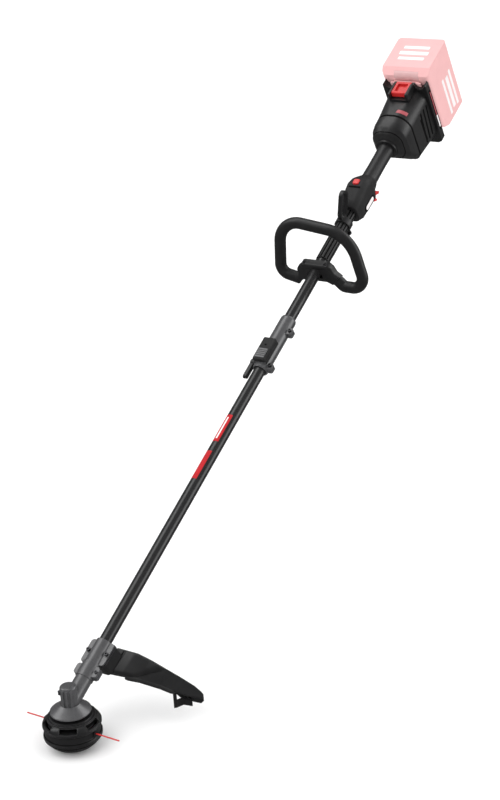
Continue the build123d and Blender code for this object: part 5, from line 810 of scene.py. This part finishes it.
class TRIMMER_OT_plain_badges(Operator):
    """Sets the plain badges: bars bent round the housing's corner and the lower tube, and rounded plates on
    the dock's rail, the control housing and the pack, each a bar outline raised with a quarter round edge"""
    bl_idname = "trimmer.plain_badges"
    bl_label = "Plain badges"

    def execute(self, context):
        make_piece("housing_badge", housing_badge(), "badge_red", "upper_frame")
        make_piece("dock_rail", boom_plate(*DOCK_RAIL, LEFT, RISE, height=0.3), "seam_black",
                   "upper_frame")
        make_piece("dock_badge_red", boom_plate(*DOCK_RED, LEFT, RISE, height=0.7), "badge_red",
                   "upper_frame")
        make_piece("dock_badge_pale", boom_plate(*DOCK_PALE, LEFT, RISE, height=0.7), "pale_print",
                   "upper_frame")
        bands = [tube_band(*place, TUBE_BAND_HEIGHT) for place in TUBE_BANDS]
        make_piece("tube_bands", joined(bands), "red_print", "lower_boom")
        make_piece("tube_stripe", tube_band(*TUBE_STRIPE, TUBE_STRIPE_HEIGHT), "pale_print", "lower_boom")
        backing = boom_plate(CONTROL_BADGE_AT, CONTROL_BADGE_FRAME, LEFT, BOOM, height=0.3,
                             sink=CONTROL_BADGE_SINK)
        make_piece("control_badge_frame", backing, "seam_black", "upper_frame")
        badge = boom_plate(CONTROL_BADGE_AT, CONTROL_BADGE, LEFT, BOOM, height=0.7, sink=CONTROL_BADGE_SINK)
        make_piece("control_badge", badge, "pale_print", "upper_frame")
        bars = [boom_plate(*bar, RISE, LEFT, height=0.4) for bar in PACK_TOP_BARS]
        make_piece("pack_top_bars", joined(bars), "pale_print", "pack")
        bars = [boom_plate(*bar, LEFT, RISE, height=0.4) for bar in PACK_SIDE_BARS]
        make_piece("pack_side_bars", joined(bars), "pale_print", "pack")
        return {"FINISHED"}


class TRIMMER_OT_small_marks(Operator):
    """Sets the pack's tinted panel, a bar section carried over a fold, and rounded plates: painted shade in the
    housing's wide vent and in the slot beside the power button, the lock dot and the release housing's sides"""
    bl_idname = "trimmer.small_marks"
    bl_label = "Small marks"

    def execute(self, context):
        make_piece("pack_panel", pack_panel(), "panel_tint", "pack")
        # Dark plates that paint the shade in the housing's wide vent and in the slot beside the power button
        make_piece("housing_vent", boom_plate(*VENT_SHADE_PLATE, LEFT, RISE, height=0.35, sink=0.9),
                   "seam_black", "upper_frame")
        make_piece("control_slot", boom_plate(*SLOT_SHADE_PLATE, CONTROL_SLOT_FACING, LEFT, height=0.7, sink=1.2),
                   "seam_black", "upper_frame")
        make_piece("release_dot", boom_plate(*RELEASE_DOT, RISE, BOOM, height=0.3), "seam_black",
                   "upper_frame")
        sides = [boom_plate((RELEASE_SKIRT_STATION, RELEASE_SKIRT_RISE, side * RELEASE_SKIRT_SIDE),
                            RELEASE_SKIRT, LEFT * side, BOOM, height=0.5) for side in (-1, 1)]
        make_piece("release_skirt", joined(sides), "dark_plastic", "upper_frame")
        return {"FINISHED"}


class TRIMMER_OT_boom_trim(Operator):
    """Lays painted shade in the sleeve's flutes and the rolled mouth of the coupler: dark round beads along the
    boom at even angles, and one round bead carried about the boom's axis"""
    bl_idname = "trimmer.boom_trim"
    bl_label = "Boom trim"

    def execute(self, context):
        # Dark beads in the sleeve's flutes: painted shade in the grooves
        axis = on_boom(np.linspace(SLEEVE_FRONT + FLUTE_INSET, SLEEVE_REAR - FLUTE_INSET, 24), 0.0, 0.0)
        flutes = []
        for bearing in FLUTE_BEARINGS:
            out = math.cos(bearing) * RISE + math.sin(bearing) * LEFT
            flutes.append(bead(axis + SLEEVE_RADIUS * MM * out, out, np.cross(BOOM, out), FLUTE_SIZE * MM))
        make_piece("sleeve_flutes", joined(flutes), "seam_black", "upper_frame")
        turn = around(72)[None, :]
        section = around(12)[:, None]
        out = MOUTH_RADIUS + MOUTH_SIZE * np.cos(section)
        mouth = on_boom(COUPLER_FRONT + MOUTH_SIZE * np.sin(section), out * np.cos(turn), out * np.sin(turn))
        make_piece("coupler_mouth", shell(mouth, wrap_rows=True), "cast_metal", "upper_frame")
        return {"FINISHED"}


def guard_edge(xs, zs, left):
    """Points of one edge of the guard's wing at places to the left, in millimetres."""
    return np.stack([np.interp(left, GUARD_LEFT, xs), -left, np.interp(left, GUARD_LEFT, zs)], -1)


class TRIMMER_OT_guard_forms(Operator):
    """Shapes the guard's shoulder and lip. The shoulder is the wing's ruled surface between its two edges,
    raised by a plateau that falls off at its sides and along a slanted far end. The lip is a flat oval bead
    carried along a line just below the wing's front edge"""
    bl_idname = "trimmer.guard_forms"
    bl_label = "Guard shoulder and lip"

    def execute(self, context):
        width = np.linspace(SHOULDER_FRONT, SHOULDER_REAR, 25)[None, :]
        run = np.linspace(0, 1, 33)[:, None]
        left = SHOULDER_START + run * (SHOULDER_LENGTH + SHOULDER_SLANT * width)
        front = guard_edge(GUARD_FRONT_X, GUARD_FRONT_Z, left)
        chord = guard_edge(GUARD_REAR_X, GUARD_REAR_Z, left) - front
        normal = np.stack([-chord[..., 2], 0 * left, chord[..., 0]], -1)
        normal /= np.linalg.norm(normal, axis=-1, keepdims=True)
        far_end = np.clip((1 - run) / SHOULDER_END_FALL, 0, 1)
        inside = np.minimum(width - SHOULDER_FRONT, SHOULDER_REAR - width)
        sides = np.clip(inside / SHOULDER_SIDE_FALL, 0, 1)
        rounding = np.sqrt(1 - (1 - far_end) ** 2) * np.sqrt(1 - (1 - sides) ** 2)
        plateau = SHOULDER_HEIGHT * rounding - SHOULDER_SINK
        skin = front + width[..., None] * chord
        top = skin + normal * plateau[..., None]
        under = (skin - normal * SHOULDER_DEPTH)[:, ::-1]
        make_piece("guard_shoulder", shell(np.concatenate([top, under], 1) * MM), "black_plastic",
                   "lower_boom")
        path = guard_edge(GUARD_FRONT_X, GUARD_FRONT_Z, np.linspace(LIP_START, LIP_END, 60)) + LIP_SHIFT
        make_piece("guard_lip", bead(path * MM, LIP_LONG_AXIS, LIP_SHORT_AXIS, LIP_SIZE * MM),
                   "dark_plastic", "lower_boom")
        return {"FINISHED"}


class TRIMMER_OT_head_ridges(Operator):
    """Turns the ridges and dark seams of the cutting head: low round beads about the spindle, each at its own
    level and radius, and a raised frame round each window, whose outline is wrapped on the cover's round
    shoulder"""
    bl_idname = "trimmer.head_ridges"
    bl_label = "Head ridges"

    def execute(self, context):
        make_piece("head_ridges", joined([head_ring(*ridge) for ridge in HEAD_BEADS]), "head_plastic",
                   "cutting_head")
        make_piece("head_seams", joined([head_ring(*seam) for seam in HEAD_SEAMS]), "seam_black",
                   "cutting_head")
        outline, normals = round_bar(*WINDOW_FRAME)
        section = around(12)[:, None]
        spot = outline[None] + (WINDOW_BEAD * np.cos(section))[..., None] * normals[None]
        bend = COVER_BEND + WINDOW_BEAD * np.sin(section)
        slope = WINDOW_SLOPE + spot[..., 1] / COVER_BEND
        out = COVER_RADIUS + bend * np.cos(slope)
        height = COVER_LEVEL + bend * np.sin(slope)
        frames = [shell(about_spindle(out, bearing + spot[..., 0] / out, height) * MM, wrap_rows=True)
                  for bearing in WINDOW_BEARINGS]
        make_piece("window_frames", joined(frames), "head_plastic", "cutting_head")
        return {"FINISHED"}


# Studio
def lay_floor(colour):
    """A wide flat grid just under the object, in pale paper."""
    x, y = np.meshgrid(*[np.linspace(-FLOOR_HALF, FLOOR_HALF, FLOOR_ROWS)] * 2)
    mesh = bpy.data.meshes.new("floor")
    mesh.from_pydata(np.stack([x, y, 0 * x - FLOOR_DROP], -1).reshape(-1, 3).tolist(), [],
                     grid_quads(FLOOR_ROWS, FLOOR_ROWS, False, False).tolist())
    floor = bpy.data.objects.new("floor", mesh)
    bpy.context.scene.collection.objects.link(floor)
    material, tree, shader, coordinates = new_material("floor_paper")
    clouds = noise(tree, coordinates, Scale=3.0)
    tree.links.new(mixed(tree, clouds, scaled(colour, 0.99), scaled(colour, 1.01)),
                   shader.inputs["Base Color"])
    shader.inputs["Roughness"].default_value = 0.9
    shader.inputs["Specular IOR Level"].default_value = 0.1
    mesh.materials.append(material)
    floor.visible_glossy = False


def wide_light(name, towards, strength, spread, sheen_only=False):
    """A soft light from one direction, seen either by gloss alone or by everything else."""
    lamp = bpy.data.lights.new(name, "SUN")
    lamp.energy = strength
    lamp.angle = spread
    light = bpy.data.objects.new(name, lamp)
    light.rotation_euler = (-Vector(towards)).to_track_quat("-Z", "Y").to_euler()
    light.visible_diffuse = not sheen_only
    light.visible_glossy = sheen_only
    bpy.context.scene.collection.objects.link(light)


def pale_surround(strength, mirrored_strength):
    """A white world: full white behind the object, with its own strength as light and in gloss."""
    world = bpy.data.worlds.new("surround")
    world.use_nodes = True
    tree = world.node_tree
    background = tree.nodes["Background"]
    background.inputs["Color"].default_value = (1.0, 1.0, 1.0, 1.0)
    seen = node(tree, "ShaderNodeLightPath")
    mirrored = ranged(tree, seen.outputs["Is Glossy Ray"], 0.0, 1.0, strength, mirrored_strength)
    white = node(tree, "ShaderNodeMix", {"data_type": "FLOAT"})
    white.inputs[3].default_value = 1.0
    tree.links.new(seen.outputs["Is Camera Ray"], white.inputs[0])
    tree.links.new(mirrored, white.inputs[2])
    tree.links.new(white.outputs[0], background.inputs["Strength"])
    bpy.context.scene.world = world
    bpy.context.scene.view_settings.view_transform = "Standard"


def set_camera(focal_length):
    """The camera at its place, turned by its own right, down and ahead directions."""
    lens = bpy.data.cameras.new("camera")
    lens.lens = focal_length
    lens.sensor_width = SENSOR_WIDTH
    lens.clip_end = FAR_LIMIT
    camera = bpy.data.objects.new("camera", lens)
    axes = (Vector(CAMERA_RIGHT), -Vector(CAMERA_DOWN), -Vector(CAMERA_AHEAD))
    camera.matrix_world = Matrix.Translation(CAMERA_PLACE) @ Matrix(axes).transposed().to_4x4()
    bpy.context.scene.collection.objects.link(camera)
    bpy.context.scene.camera = camera


class TRIMMER_OT_stage(Operator):
    """Sets the floor, the soft lights, the pale surround and the camera"""
    bl_idname = "trimmer.stage"
    bl_label = "Studio"

    def execute(self, context):
        settings = context.scene.trimmer_stage
        lay_floor(tuple(settings.floor_colour))
        wide_light("key_left", KEY_TOWARDS, settings.key_strength, settings.light_spread)
        wide_light("fill_right", FILL_TOWARDS, settings.fill_strength, settings.light_spread)
        for name, towards in SHEENS_TOWARDS.items():
            wide_light(name, towards, settings.sheen_strength, settings.sheen_spread, sheen_only=True)
        pale_surround(settings.world_strength, settings.mirrored_strength)
        set_camera(settings.lens)
        return {"FINISHED"}


STEPS = (TRIMMER_OT_finish_solids, TRIMMER_OT_line_winding, TRIMMER_OT_bump_coil, TRIMMER_OT_line_strands,
         TRIMMER_OT_case_lid, TRIMMER_OT_seam_band, TRIMMER_OT_plain_badges, TRIMMER_OT_small_marks,
         TRIMMER_OT_boom_trim, TRIMMER_OT_guard_forms, TRIMMER_OT_head_ridges, TRIMMER_OT_stage)


class TRIMMER_PT_sidebar(Panel):
    """Lists the sizes, the colours and the steps"""
    bl_idname = "TRIMMER_PT_sidebar"
    bl_label = "String Trimmer"
    bl_space_type = "VIEW_3D"
    bl_region_type = "UI"
    bl_category = "Trimmer"

    def draw(self, context):
        scene = context.scene
        for group in (scene.trimmer_sizes, scene.trimmer_colours, scene.trimmer_stage):
            box = self.layout.box()
            for key in group.__annotations__:
                box.prop(group, key)
        for step in STEPS:
            self.layout.operator(step.bl_idname)


GROUPS = {"trimmer_colours": TrimmerColours, "trimmer_sizes": TrimmerSizes, "trimmer_stage": StageSettings}
CLASSES = (*GROUPS.values(), *STEPS, TRIMMER_PT_sidebar)


def register():
    """Registers the classes and gives each scene its settings."""
    for kind in CLASSES:
        bpy.utils.register_class(kind)
    for name, group in GROUPS.items():
        setattr(bpy.types.Scene, name, PointerProperty(type=group))


def unregister():
    """Takes the settings and the classes away again."""
    for name in GROUPS:
        delattr(bpy.types.Scene, name)
    for kind in reversed(CLASSES):
        bpy.utils.unregister_class(kind)


def main():
    """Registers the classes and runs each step."""
    register()
    for step in STEPS:
        group, name = step.bl_idname.split(".")
        getattr(getattr(bpy.ops, group), name)()


if __name__ == "__main__":
    main()
